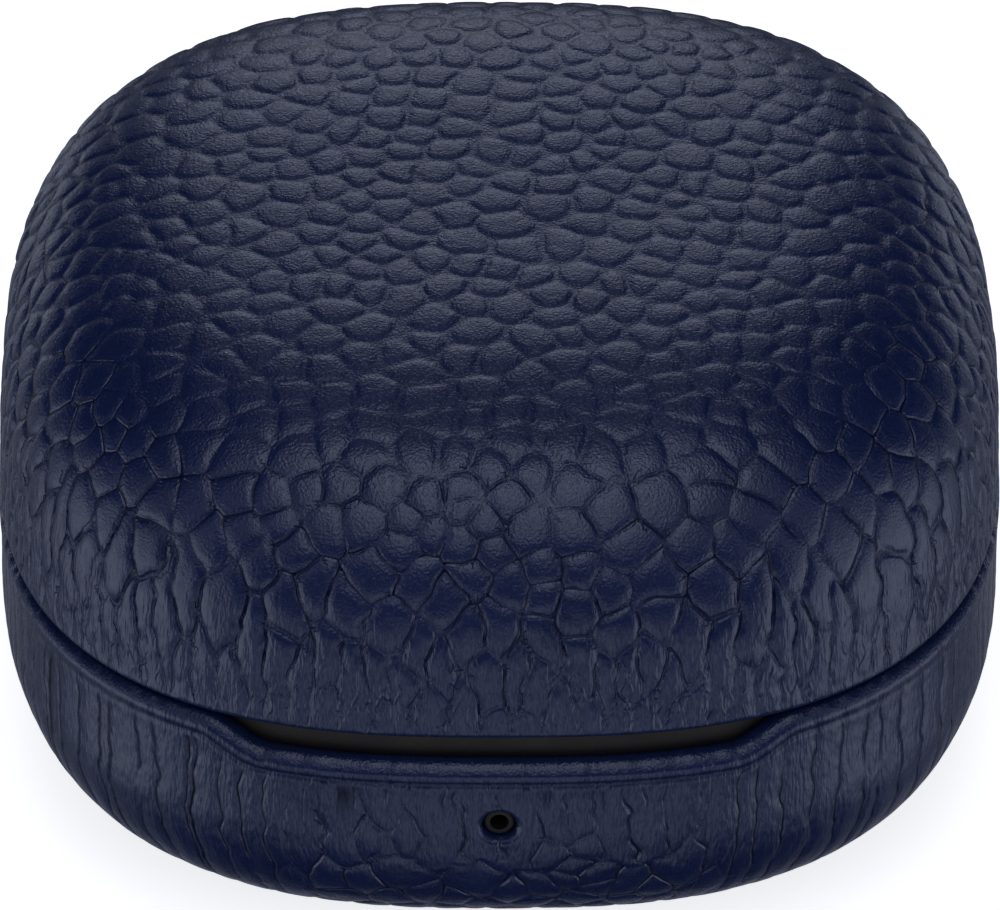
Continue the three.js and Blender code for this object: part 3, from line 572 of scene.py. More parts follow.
def leather_skin(name, on_base):
    columns = TURN_ANGLES[:-1]
    edge = skin_edge(columns, on_base)
    nominal = BASE_TOP if on_base else LID_BOTTOM
    roll = LIP_ROLL if on_base else LID_ROLL
    hold = 11.0 if on_base else 20.5
    if on_base:
        first = np.concatenate([roll_steps(roll, 8), roll + np.arange(1, 9) * 0.12])
        rows = wall_rows(nominal, 0.0, first)
    else:
        rows = wall_rows(nominal, dome_height(PATCH_SHARE, 0), roll_steps(roll, 6))
    near_edge = (rows > hold) if on_base else (rows < hold)
    z = np.repeat(rows[:, None], COLUMNS, axis=1)
    squeezed = hold + (z - hold) * ((edge - hold) / (nominal - hold))[None, :]
    z = np.where(near_edge[:, None], squeezed, z)
    distance = edge_distance(z, edge)

    skin = Surface()
    wall = skin.add(place(columns[None, :], share_at(z, 0), z, 0))
    skin.bands(list(wall))

    def fill(rim, inset, reach):
        """Closes a rim with the foot's flat or the lid's dome."""
        level = (lambda share: inset + 0 * share) if on_base else (lambda share: dome_height(share, inset))
        skin.patch(rim, lambda share, turn: place(angle_at(turn), share * reach, level(share * reach), inset))

    if on_base:
        foot = skin.add(place(columns[::2], FOOT_SHARE * 0.99, 0.0, 0))
        skin.taper(wall[-1], foot)
        fill(foot, 0.0, FOOT_SHARE * 0.99)
    else:
        fill(wall[-1], 0.0, PATCH_SHARE)
    smooth = skin.all_points()
    normals = surface_normals(smooth, skin)
    height, border, line, beside = leather_relief(smooth, normals, on_base)

    away = np.full(len(smooth), 99.0)
    away[wall.ravel()] = distance.ravel()
    if on_base:
        calm = ease(LIP_CREASE - 0.1, LIP_CREASE + 1.0, away)
        by_notch = notch_share(smooth)
        crease = mix(0.03, 0.08, by_notch) * bell(away - LIP_CREASE, mix(0.3, 0.17, by_notch))
        lip = 0.045 * bell(away - 0.75, 0.45) - crease
    else:
        calm = ease(0.1, 1.3, away)
        lip = 0.0
    offset = height * calm + lip - rolled_in(away, roll)
    if on_base:
        for centre_z, half_width, half_height, at_back in (
            (INDICATOR_Z, INDICATOR_HOLE, INDICATOR_HOLE, False),
            (USB_Z, USB_CUT_HALF_WIDTH, USB_CUT_HALF_HEIGHT, True),
        ):
            drawn, off = hole_rounding(smooth, centre_z, half_width, half_height, at_back)
            offset = mix(0, offset, ease(0.0, 0.9, off)) - drawn
        offset = np.where(smooth[:, 2] < 0.02, np.minimum(offset, 0) * 0.6, offset)
    skin.points = [smooth + normals * offset[:, None]]

    # The turned-in rim and the plain inner face close the skin.
    inner_z = np.where(on_base, edge - 1.5, edge + 1.5)
    rim = [wall[0]]
    for level in (edge, inner_z):
        rim.append(skin.add(place(columns, share_at(level, LEATHER), level, LEATHER)))
    skin.bands(rim)
    back = dome_height(PATCH_SHARE, LEATHER) if not on_base else LEATHER
    start = inner_z + (-0.8 if on_base else 0.8)
    half = skin.add(place(columns[::2], share_at(start[::2], LEATHER), start[::2], LEATHER))
    skin.taper(rim[-1], half)
    levels = [start[::4] + (back - start[::4]) * k / 14 for k in range(1, 15)]
    inner = [skin.add(place(columns[::4], share_at(level, LEATHER), level, LEATHER)) for level in levels]
    skin.taper(half, inner[0])
    skin.bands(inner)
    fill(inner[-1], LEATHER, float(share_at(np.array([back]), LEATHER)[0]))

    faces = np.concatenate(skin.quads).tolist() + np.concatenate(skin.tris).tolist()
    piece = mesh_object(name, skin.all_points(), faces, "base" if on_base else "lid")
    # Ticks under the base's lip: a bump that also darkens the colour as painted shade.
    tick = bell(away - LIP_CREASE - 0.1, 0.3) * on_base
    # Painted shade: the colour darkened along the crease under the base's lip, most in front of the notch.
    fold_shade = 0.4 * bell(away - LIP_CREASE, 0.13) * on_base * notch_share(smooth)
    shares = {"border": border, "line": line, "beside": beside, "calm": calm, "tick": tick, "fold_shade": fold_shade}
    unseen = np.ones(skin.count - len(smooth))
    point_values(piece, **{each: np.append(values, unseen) for each, values in shares.items()})
    return piece


# ---- Solids for the plastic and metal pieces ----


def rings_solid(rings, body, name="cutter"):
    """A closed surface through rings of equal point counts, closed flat at both ends."""
    count = len(rings[0])
    here = np.arange(count)
    ahead = np.roll(here, -1)
    faces = [here.tolist(), (here + count * (len(rings) - 1)).tolist()]
    for k in range(len(rings) - 1):
        low, high = k * count, (k + 1) * count
        faces += np.stack([low + here, low + ahead, high + ahead, high + here], -1).tolist()
    return mesh_object(name, np.concatenate(rings), faces, body)


def rounded_ends(length, edge, steps=5):
    """Stations along a length and how far each is drawn in, with both ends rounded by edge."""
    if not edge:
        return [(0.0, 0.0), (length, 0.0)]
    turn = np.linspace(0, pi / 2, steps + 1)
    near = [(edge * (1 - cos(a)), edge * (1 - sin(a))) for a in turn]
    return near + [(length - station, drawn) for station, drawn in near[::-1]]


def rod(radius, start, end, body="base", edge=0.0, name="cutter", sides=48):
    start, end = np.array(start, float), np.array(end, float)
    axis = unit(end - start)
    across = unit(np.cross(axis, [0.31, 0.52, 0.79]))
    turn = full_turn(sides)[:, None]
    circle = np.cos(turn) * across + np.sin(turn) * np.cross(axis, across)
    stations = rounded_ends(np.linalg.norm(end - start), edge)
    return rings_solid([start + axis * a + circle * (radius - b) for a, b in stations], body, name)


def hinge_rod(radius, x0, x1, body="base", edge=0.0, name="cutter"):
    return rod(radius, (x0, HINGE_Y, HINGE_Z), (x1, HINGE_Y, HINGE_Z), body, edge, name)


def hinge_pair(radius, x0, x1, body="base", edge=0.0):
    """The same rod on both sides of the middle."""
    return [hinge_rod(radius, *ends, body, edge) for ends in ((x0, x1), (-x1, -x0))]


def post_pair(radius, z0, z1):
    return [rod(radius, (x, SCREW_Y, z0), (x, SCREW_Y, z1)) for x in (-SCREW_X, SCREW_X)]


def turned(profile, x, y, body, name, sides=40):
    """A piece turned about a vertical axis at (x, y), from radius and height pairs."""
    turn = full_turn(sides)
    rings = [np.stack([x + r * np.cos(turn), y + r * np.sin(turn), z + 0 * turn], -1) for r, z in profile]
    return rings_solid(rings, body, name)


def rounded_outline(half_width, half_height, corner, steps=10):
    """Points in X and Z round a rectangle with round corners, about the origin."""
    turn = np.linspace(0, pi / 2, steps + 1)
    corners = []
    for quarter, (sx, sz) in enumerate([(1, 1), (-1, 1), (-1, -1), (1, -1)]):
        angle = turn + quarter * pi / 2
        centre = np.array([sx * (half_width - corner), sz * (half_height - corner)])
        corners.append(centre + corner * np.stack([np.cos(angle), np.sin(angle)], -1))
    return np.concatenate(corners)


def prism(outline, centre_z, y0, y1, body, edge=0.0, name="cutter"):
    """An outline in X and Z extruded along Y, with its end edges rounded by edge."""
    rings = []
    half = np.abs(outline).max(axis=0)
    for station, drawn in rounded_ends(y1 - y0, edge):
        shrunk = outline * (1 - drawn / half)
        rings.append(np.insert(shrunk, 1, y0 + station, axis=1) + [0, 0, centre_z])
    return rings_solid(rings, body, name)


def block(x, y, z, body):
    """A box between two stations along each axis, with slightly rounded edges along Y."""
    outline = rounded_outline((x[1] - x[0]) / 2, (z[1] - z[0]) / 2, 0.1, 4)
    return prism(outline + [(x[0] + x[1]) / 2, 0], (z[0] + z[1]) / 2, *y, body)


def combine(piece, operation, others):
    """Joins other solids to the piece, or cuts them out of it, and removes them."""
    for other in others:
        change = piece.modifiers.new("combine", "BOOLEAN")
        change.solver = "MANIFOLD"
        change.operation = operation
        change.object = other
        shaped = bpy.data.meshes.new_from_object(piece.evaluated_get(bpy.context.evaluated_depsgraph_get()))
        piece.modifiers.clear()
        piece.data = shaped
        bpy.data.objects.remove(other)
    return piece


def join(piece, others):
    return combine(piece, "UNION", others)


def cut(piece, others):
    return combine(piece, "DIFFERENCE", others)


SOLID_STEP = 6  # a solid's outline takes every sixth of the leather's columns


def pillow(inset, cut_z, body, roll=0.0, name="cutter"):
    """The form set in by inset: under cut_z for a base piece and over it for a lid piece."""
    below = body == "base"
    columns = TURN_ANGLES[:-1:SOLID_STEP]
    reach = PATCH_SHARE
    far = inset if below else float(dome_height(reach, inset))
    start = roll_steps(roll, 5) if roll else np.array([0.0])
    levels = wall_rows(cut_z, far, start, 0.8, inset)
    skin = Surface()
    rings = []
    for z in levels:
        drawn = inset + float(rolled_in(abs(z - cut_z), roll)) if roll else inset
        rings.append(skin.add(place(columns, share_at(z, inset), z, drawn)))
    skin.bands(rings)
    faces = [rings[0].tolist()]
    if below:
        faces.append(rings[-1].tolist())
    else:

        def dome(share, turn):
            return place(angle_at(turn), share * reach, dome_height(share * reach, inset), inset)

        skin.patch(rings[-1], dome)
    faces += np.concatenate(skin.quads).tolist()
    return mesh_object(name, skin.all_points(), faces, body)


def pillow_slab(inset, z0, z1, body, name):
    """A plate across the form between two heights, with its rim's edges rounded."""
    columns = TURN_ANGLES[:-1:SOLID_STEP]
    rings = [
        place(columns, share_at(z0 + station, inset), z0 + station, inset + drawn)
        for station, drawn in rounded_ends(z1 - z0, 0.2)
    ]
    return rings_solid(rings, body, name)


def bean_ring(side, share, grow, z):
    """One ring of an earbud well's bean outline. Its waist faces the middle of the case."""
    turn = full_turn(96)
    waist = WELL_WAIST * np.maximum(0, -side * np.cos(turn)) ** 4
    x = side * WELL_X + ((WELL_HALF_WIDTH + grow) * np.cos(turn) + side * waist) * share
    y = (WELL_HALF_LENGTH + grow) * share * np.sin(turn)
    return np.stack([x, y, z + 0 * turn], -1)


def well(side, mouth_z, floor_z, grow, body, flare=0.0):
    """A well's hollow from floor to mouth, with the mouth's edge flared open, or the cup round it."""
    turns = np.linspace(0, pi / 2, 15)
    rings = []
    for turn in turns:
        share = WELL_FLOOR_SHARE + (1 - WELL_FLOOR_SHARE) * sin(turn) ** (2 / WELL_EXPONENT)
        z = mouth_z + (floor_z - mouth_z) * cos(turn) ** (2 / WELL_EXPONENT)
        rings.append(bean_ring(side, share, grow, z))
    if flare:
        outward = 1 if mouth_z > floor_z else -1
        rings = [ring for ring in rings if abs(ring[0, 2] - mouth_z) > flare]
        for turn in np.linspace(0, pi / 2, 6):
            z = mouth_z - outward * flare * (1 - sin(turn))
            rings.append(bean_ring(side, 1.0, grow + flare * (1 - cos(turn)), z))
        rings.append(rings[-1] + [0, 0, outward * 0.02])
    return rings_solid(rings, body)


def hinge_opening(body):
    outline = rounded_outline(HINGE_CUT_HALF, (HINGE_CUT_TOP - HINGE_CUT_BOTTOM) / 2, 1.6)
    return prism(outline, (HINGE_CUT_TOP + HINGE_CUT_BOTTOM) / 2, 15, FAR, body)


def usb_outline(half_width, half_height):
    return rounded_outline(half_width, half_height, 0.98 * half_height, 14)


def usb_opening(start_y):
    return prism(usb_outline(USB_CUT_HALF_WIDTH, USB_CUT_HALF_HEIGHT), USB_Z, start_y, FAR, "base")


def indicator_bore(radius):
    return rod(radius, (0, -FAR, INDICATOR_Z), (0, -15, INDICATOR_Z))


# ---- The cover's two plastic shells ----


def cover_shells():
    wall_front = -HALF_DEPTH + COVER_INSET
    base = pillow(COVER_INSET, BASE_TOP, "base", 0.2, "base_cover_fine")
    ring_end = (0, wall_front - RING_PROUD, INDICATOR_Z)
    cut(base, [pillow(COVER_INSET + COVER_WALL, BASE_TOP + 1, "base")])
    join(base, [rod(INDICATOR_RING, ring_end, (0, wall_front + 0.4, INDICATOR_Z), "base", 0.16)])
    cut(base, [hinge_opening("base"), usb_opening(15), indicator_bore(INDICATOR_EYE)])
    lid = pillow(COVER_INSET, LID_BOTTOM, "lid", 0.2, "lid_cover_fine")
    cut(lid, [pillow(COVER_INSET + COVER_WALL, LID_BOTTOM - 1, "lid"), hinge_opening("lid")])
    return {"base_cover_shell": base, "lid_cover_shell": lid}


# ---- The case's own shells ----


def hinge_block(body):
    """The thick part that carries the knuckles, out to the back where the cover is cut."""
    across = (-BLOCK_HALF, BLOCK_HALF), (BLOCK_FRONT, BLOCK_BACK)
    if body == "base":
        inside, opened = (BASE_BLOCK_BOTTOM, BASE_TOP), (HINGE_CUT_BOTTOM + BLOCK_GAP, BASE_TOP)
        form = pillow(CASE_INSET, BASE_TOP, body)
    else:
        inside, opened = (LID_BOTTOM, LID_BLOCK_TOP), (LID_BOTTOM, HINGE_CUT_TOP - BLOCK_GAP)
        form = pillow(CASE_INSET, LID_BOTTOM, body)
    return join(combine(form, "INTERSECT", [block(*across, inside, body)]), [block(*across, opened, body)])


def case_shells():
    base = pillow(CASE_INSET, BASE_TOP, "base", 0.35, "case_base_fine")
    cut(base, [pillow(ROOM_INSET, BASE_TOP + 1, "base")])
    join(base, [hinge_block("base"), *post_pair(SCREW_POST, ROOM_INSET - 0.4, SCREW_POST_TOP)])
    cut(base, [hinge_rod(SCOOP, 0.05 - BASE_KNUCKLE[0], BASE_KNUCKLE[0] - 0.05)])
    join(base, hinge_pair(BARREL, *BASE_KNUCKLE, "base", 0.15))
    seats = hinge_pair(SCOOP, BASE_KNUCKLE[1], CAP[1] + 0.2)
    bores = post_pair(SCREW_BORE, SCREW_BORE_BOTTOM, SCREW_POST_TOP + 1)
    socket = usb_outline(USB_HALF_WIDTH + USB_GAP, USB_HALF_HEIGHT + USB_GAP)
    holes = [prism(socket, USB_Z, 18, FAR, "base"), indicator_bore(LIGHT_BORE)]
    cut(base, [hinge_rod(PIN_BORE, -FAR, FAR), *seats, *bores, *holes])

    lid = pillow(CASE_INSET, LID_BOTTOM, "lid", 0.35, "case_lid_fine")
    cut(lid, [pillow(ROOM_INSET, LID_BOTTOM - 1, "lid")])
    join(lid, [hinge_block("lid")])
    cut(lid, hinge_pair(SCOOP, LID_KNUCKLE_HALF, CAP[1] + 0.3, "lid"))
    join(lid, [hinge_rod(BARREL, -LID_KNUCKLE_HALF, LID_KNUCKLE_HALF, "lid", 0.15)])
    cut(lid, [hinge_rod(PIN_BORE, -FAR, FAR, "lid"), hinge_rod(SPRING_ROOM, -5, 5, "lid")])
    return {"case_base_shell": base, "case_lid_shell": lid}


# ---- Tray, liner, pads, contacts and socket ----


def deck_plate(z0, z1, body, name):
    plate = pillow_slab(DECK_INSET, z0, z1, body, name)
    across = (-BLOCK_HALF - 0.4, BLOCK_HALF + 0.4), (BLOCK_FRONT - 0.3, FAR)
    return cut(plate, [block(*across, (z0 - 1, z1 + 1), body)])


def tray_and_liner():
    tray = deck_plate(DECK_BOTTOM, DECK_TOP, "base", "bud_tray_fine")
    join(tray, [well(side, DECK_TOP - 0.4, WELL_FLOOR - WELL_WALL, WELL_WALL, "base") for side in (-1, 1)])
    cut(tray, [well(side, DECK_TOP, WELL_FLOOR, 0, "base", 0.5) for side in (-1, 1)])
    cut(tray, [rod(CONTACT_BORE, (x, CONTACT_Y, 6), (x, CONTACT_Y, WELL_FLOOR + 1.5)) for x in CONTACT_X])
    cut(tray, [rod(LIGHT_BORE, (0, INNER_LIGHT_Y, 10), (0, INNER_LIGHT_Y, 20))])
    liner = deck_plate(LINER_BOTTOM, LINER_TOP, "lid", "lid_liner_fine")
    cups = HOLLOW_CEILING + WELL_WALL
    join(liner, [well(side, LINER_BOTTOM + 0.4, cups, WELL_WALL, "lid") for side in (-1, 1)])
    cut(liner, [well(side, LINER_BOTTOM, HOLLOW_CEILING, 0, "lid", 0.5) for side in (-1, 1)])
    return {"bud_tray": tray, "lid_liner": liner}


def bud_pad(side, name):
    """A soft pad with a domed face and three grip ribs across it."""
    low, high = node_box("bud_pad_" + name)
    half, thick = (high - low) / 2, high[2] - low[2]
    turn = full_turn(64)
    rings = []
    for share in np.sin(np.linspace(pi / 2, 0.05, 26)):
        x, y = half[0] * share * np.cos(turn), half[1] * share * np.sin(turn)
        rib = 0.05 * np.cos(y * 2 * pi / 1.5) * ease(1.0, 0.8, share)
        sink = thick * (0.18 + 0.72 * np.sqrt(1 - min(share, 1) ** 4)) + rib
        rings.append(np.stack([(low[0] + high[0]) / 2 + x, y + (low[1] + high[1]) / 2, high[2] - sink], -1))
    rings.insert(0, rings[0] * [1, 1, 0] + [0, 0, high[2]])
    return rings_solid(rings, "lid", f"bud_pad_{name}_fine")


def upright(name):
    """Where a round upright CAD node stands: its middle in X and Y, its radius, foot and top."""
    low, high = node_box(name)
    return (*(low[:2] + high[:2]) / 2, (high[0] - low[0]) / 2, low[2], high[2])


def contact_plunger(name):
    """A gold pin with a flange inside its barrel, a stem and a rounded tip."""
    x, y, flange, foot, top = upright("contact_plunger_" + name)
    tip = [(PLUNGER_STEM * cos(a), top - 0.3 + 0.3 * sin(a)) for a in np.linspace(0, 1.5, 8)]
    profile = [(flange - 0.05, foot), (flange, foot + 0.05), (flange, PLUNGER_SHOULDER - 0.05)]
    profile += [(flange - 0.05, PLUNGER_SHOULDER), (PLUNGER_STEM, PLUNGER_SHOULDER), *tip]
    return turned(profile, x, y, "contact_plunger_" + name, f"contact_plunger_{name}_fine")


def contact_barrel(name):
    x, y, radius, foot, top = upright("contact_barrel_" + name)
    profile = [(radius, foot), (radius, top - 0.1), (radius - 0.1, top), (BORE_MOUTH, top)]
    profile += [(STEM_BORE, top - 0.06), (STEM_BORE, BORE_STEP), (FLANGE_BORE, BORE_STEP)]
    profile.append((FLANGE_BORE, foot + 0.2))
    return turned(profile, x, y, "base", f"contact_barrel_{name}_fine")


def contact_spring(name):
    """A coil of round wire from the foot to the top of its CAD node."""
    x, y, radius, bottom, top = upright("contact_spring_" + name)
    reach = radius - SPRING_WIRE
    turn = full_turn(10)[:, None]
    rings = []
    for share in np.linspace(0, 1, SPRING_TURNS * 24 + 1):
        round_it = share * SPRING_TURNS * 2 * pi
        outward = np.array([cos(round_it), sin(round_it), 0.0])
        height = mix(bottom + SPRING_WIRE, top - SPRING_WIRE, share)
        rings.append([x, y, height] + outward * (reach + SPRING_WIRE * np.cos(turn))
                     + [0, 0, SPRING_WIRE] * np.sin(turn))
    piece = rings_solid(rings, "base", f"contact_spring_{name}_fine")
    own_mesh(piece)
    return piece


def socket_pieces():
    back, mouth = node_box("usb_c_shell")[0][1], node_box("usb_c_shell")[1][1]
    outline = usb_outline(USB_HALF_WIDTH, USB_HALF_HEIGHT)
    can = prism(outline, USB_Z, back, mouth, "base", 0.12, "usb_c_shell_fine")
    inner = usb_outline(USB_HALF_WIDTH - USB_WALL, USB_HALF_HEIGHT - USB_WALL)
    cut(can, [prism(inner, USB_Z, back + 0.9, FAR, "base")])
    low, high = node_box("usb_c_tongue")
    outline = rounded_outline(high[0], (high[2] - low[2]) / 2, 0.2, 5)
    tongue = prism(outline, USB_Z, low[1], high[1], "base", 0.12, "usb_c_tongue_fine")
    return {"usb_c_shell": can, "usb_c_tongue": tongue}


def small_pieces():
    pieces = {}
    for name, side in (("left", -1), ("right", 1)):
        pieces["bud_pad_" + name] = bud_pad(side, name)
        ends = sorted((side * CAP[0], side * CAP[1]))
        pieces["hinge_cap_" + name] = hinge_rod(CAP_RADIUS, *ends, "base", 0.18, f"hinge_cap_{name}_fine")
        for place_name in ("inner", "outer"):
            full = f"{name}_{place_name}"
            pieces["contact_plunger_" + full] = contact_plunger(full)
            pieces["contact_barrel_" + full] = contact_barrel(full)
            pieces["contact_spring_" + full] = contact_spring(full)
    low, high = node_box("inner_light_guide")
    lens = [(LIGHT_GUIDE * cos(a), high[2] - 0.15 + 0.15 * sin(a)) for a in np.linspace(0, 1.5, 6)]
    profile = [(LIGHT_GUIDE, low[2]), *lens]
    pieces["inner_light_guide"] = turned(profile, 0, INNER_LIGHT_Y, "base", "inner_light_guide_fine")
    return pieces


lid_skin = leather_skin("lid_leather_skin", False)
base_skin = leather_skin("base_leather_skin", True)
cut(base_skin, [rod(INDICATOR_HOLE, (0, -FAR, INDICATOR_Z), (0, -22, INDICATOR_Z)), usb_opening(20)])
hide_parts("lid_leather")
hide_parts("base_leather")
fine_pieces = {**cover_shells(), **case_shells(), **tray_and_liner(), **socket_pieces(), **small_pieces()}
slots = {part["node"]: part["material_slot"] for part in frame["record"]["subparts"]}
for node_name, piece in fine_pieces.items():
    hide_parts(node_name)
    smooth_shading(piece, 32)


# ---- Materials ----
NAVY = (0.0085, 0.0165, 0.063, 1)
NAVY_DEEP = (0.007, 0.0145, 0.056, 1)
# Painted shade: the near-black navy that the leather's creases and cracks are darkened to.
NAVY_CREASE_SHADE = (0.002, 0.004, 0.014, 1)
PLASTIC_GLINT = (1.0, 0.9, 0.72, 1)


class Nodes:
    """The node tree of a material, or of the world, built by short calls."""

    def __init__(self, name, world=None):
        self.material = world or bpy.data.materials.new(name)
        self.material.use_nodes = True
        self.tree = self.material.node_tree
        self.surface = self.tree.nodes["Background" if world else "Principled BSDF"]

    def feed(self, node, inputs):
        """Sets each of a node's inputs to a number or colour, or joins another node's output to it."""
        for key, value in inputs.items():
            if isinstance(value, bpy.types.NodeSocket):
                self.tree.links.new(value, node.inputs[key])
            else:
                node.inputs[key].default_value = value

    def finish(self, normal, color, roughness, **others):
        """Feeds the shader and gives the material."""
        self.feed(self.surface, {"Normal": normal, "Base Color": color, "Roughness": roughness, **others})
        return self.material

    def node(self, kind, inputs=(), **settings):
        made = self.tree.nodes.new("ShaderNode" + kind)
        for key, value in settings.items():
            setattr(made, key, value)
        self.feed(made, dict(inputs))
        return made

    def place(self, scale, source=None, start=(0, 0, 0)):
        """Object coordinates, or a source in metres, as patterns per millimetre, the same or by axis."""
        source = source or self.node("TexCoord").outputs["Object"]
        scale = (np.broadcast_to(scale, 3) / MM).tolist()
        return self.node("Mapping", {"Vector": source, "Location": start, "Scale": scale}).outputs["Vector"]

    def noise(self, scale, detail=2.0, roughness=0.5, source=None):
        inputs = {"Scale": 1.0, "Detail": detail, "Roughness": roughness, "Vector": self.place(scale, source)}
        return self.node("TexNoise", inputs).outputs["Fac"]

    def voronoi(self, vector, randomness=1.0, feature="DISTANCE_TO_EDGE", **settings):
        inputs = {"Scale": 1.0, "Randomness": randomness, "Vector": vector}
        return self.node("TexVoronoi", inputs, feature=feature, **settings).outputs["Distance"]

    def cracks(self, scale):
        """The distance to the nearest border of small cells, wavered a little."""
        vector = self.place(scale)
        waver = self.node("TexNoise", {"Scale": 1.7, "Vector": vector}).outputs["Color"]
        moved = self.node("VectorMath", {0: waver, 1: (0.5, 0.5, 0.5), 2: vector}, operation="MULTIPLY_ADD")
        return self.voronoi(moved.outputs[0])

    def cells(self, scale, waver, shift, source):
        """Distance to the border of flat cells, whose sides waver along X by up to shift millimetres."""
        aside = self.node("CombineXYZ", {0: self.times(waver, shift * MM)}).outputs[0]
        moved = self.node("VectorMath", {0: aside, 1: source}, operation="ADD").outputs[0]
        return self.voronoi(self.place((*scale, 1.0), moved, (0, 0.5, 0)), 0.8, voronoi_dimensions="2D")

    def wave(self, kind, direction, pitch):
        """A sine that runs from 0 to 1 and back once every pitch millimetres."""
        inputs = {"Scale": 2 * pi / 20 / pitch, "Distortion": 0.0, "Vector": self.place(1.0)}
        settings = {"wave_type": kind, f"{kind.lower()}_direction": direction}
        return self.node("TexWave", inputs, **settings).outputs["Fac"]

    def stripes(self, direction, pitch, share):
        """Lines across one axis, pitch millimetres apart, that fill a share of it."""
        edge = 0.5 + 0.5 * cos(pi * share)
        return self.range(self.wave("BANDS", direction, pitch), edge - 0.05, edge + 0.05)

    def blend(self, share, a, b):
        return self.node("Mix", {0: share, 2: a, 3: b}, data_type="FLOAT").outputs[0]

    def math(self, operation, a, b=0.0, c=0.0):
        return self.node("Math", {0: a, 1: b, 2: c}, operation=operation).outputs[0]

    def times(self, product, *others):
        for other in others:
            product = self.math("MULTIPLY", product, other)
        return product

    def range(self, value, low, high, to_low=0.0, to_high=1.0):
        inputs = dict(enumerate((value, low, high, to_low, to_high)))
        return self.node("MapRange", inputs, interpolation_type="SMOOTHSTEP").outputs["Result"]

    def mix_color(self, share, a, b):
        return self.node("Mix", {0: share, 6: a, 7: b}, data_type="RGBA").outputs[2]

    def bump(self, height, depth, after=None):
        """A bump whose height runs over depth millimetres, on top of another."""
        inputs = {"Strength": 1.0, "Distance": depth * MM, "Height": height}
        return self.node("Bump", {**inputs, **({"Normal": after} if after else {})}).outputs["Normal"]

    def attribute(self, name, output="Fac"):
        return self.node("Attribute", attribute_name=name).outputs[output]


def leather_material():
    """Navy leather: the mesh's relief with sharp creases, fibre and fine grain added to it, with painted
    shade that darkens the creases and dims their highlight.
    """
    m = Nodes("navy_pebbled_leather")
    wall, low, calm, creased = map(m.attribute, ("wall", "low", "calm", "creased"))
    drum, unrolled = m.attribute("drum", "Vector"), m.attribute("unrolled", "Vector")

    # The sharp crease between pebbles; on walls only those that run down the wall.
    line = m.math("ABSOLUTE", m.attribute("line"))
    by_border = m.range(m.attribute("border"), 0.12, 0.2, 1.0, 0.0)
    crossing_wall = m.times(m.math("SUBTRACT", 1.0, m.attribute("beside")), wall, 0.8)
    fades = m.range(m.noise(0.5, 1.0), 0.36, 0.56, 0.25, 1.0)
    strength = m.times(m.math("SUBTRACT", 1.0, crossing_wall), calm, m.attribute("pebbled"), by_border, fades,
                       m.attribute("slope"))
    deeper = m.math("MULTIPLY_ADD", m.math("SUBTRACT", wall, low), 1.1, 1.0)
    groove = m.times(m.range(line, 0.015, 0.13, 1.0, 0.0), strength, deeper)
    fainter = m.math("MULTIPLY_ADD", low, -0.75, 1.0)
    # Painted shade: the crease's dark core, put into the colour.
    groove_shade = m.times(m.range(line, 0.01, 0.045, 1.0, 0.0), strength, fainter)

    # Fine grain on the top, and fibre drawn down the walls.
    fibre = m.noise((5.2, 5.2, 1.1), 1.5, 0.6, drum)
    fine = m.bump(m.blend(wall, m.noise(6.5, 1.0, 0.6), m.times(fibre, 1.8)), 0.043)

    # Long wavy cracks down the base.
    long_cells = m.cells((0.62, 0.004), m.noise(0.42, 1.5, 0.5, unrolled), 1.1, unrolled)
    unbroken = m.range(m.noise((0.4, 0.14, 1.0), 1.0, 0.5, unrolled), 0.34, 0.46)
    here = m.times(unbroken, calm, creased)
    crack = m.times(m.range(long_cells, 0.012, 0.09, 1.0, 0.0), here)
    # Painted shade: each crack's dark core, put into the colour.
    crack_shade = m.times(m.range(long_cells, 0.01, 0.04, 1.0, 0.0), here)
    pillow = m.times(m.range(long_cells, 0.0, 0.4), creased)

    # Small ridges that cross low on the lid, and ticks under the base's lip.
    quick = m.noise(0.5, 1.0, 0.5, unrolled)
    one_way = m.cells((0.9, 0.004), quick, 1.5, unrolled)
    other_way = m.cells((0.8, 0.004), quick, -1.5, unrolled)
    patches = m.range(m.noise((0.8, 0.45, 1.0), 1.0, 0.5, unrolled), 0.38, 0.56)
    ridge = m.times(m.range(m.math("MINIMUM", one_way, other_way), 0.0, 0.1, 1.0, 0.0), patches, low)
    tick = m.times(m.range(m.noise((2.4, 0.3, 1.0), 1.0, 0.5, unrolled), 0.6, 0.68), m.attribute("tick"))

    relief = m.math("SUBTRACT", pillow, m.math("MAXIMUM", groove, crack))
    relief = m.math("MULTIPLY_ADD", tick, -0.7, relief)
    relief = m.math("MULTIPLY_ADD", ridge, 0.9, relief)
    # Painted shade: the cores of the grooves and cracks, the ticks and the fold under the lip darken the
    # colour.
    lines = m.math("MAXIMUM", m.math("MAXIMUM", groove_shade, crack_shade), m.times(tick, 0.45))
    dark = m.math("MAXIMUM", lines, m.attribute("fold_shade"))
    tone = m.mix_color(m.range(m.noise(0.25), 0.3, 0.7), NAVY_DEEP, NAVY)
    return m.finish(
        m.bump(relief, 0.06, fine),
        m.mix_color(dark, tone, NAVY_CREASE_SHADE),
        m.range(m.noise(2.0, 3.0, 0.6), 0.3, 0.7, 0.24, 0.31),
        # Painted shade: the highlight is dimmed in the same creases.
        **{"Specular IOR Level": m.math("MULTIPLY_ADD", dark, -0.42, 0.5)},
    )


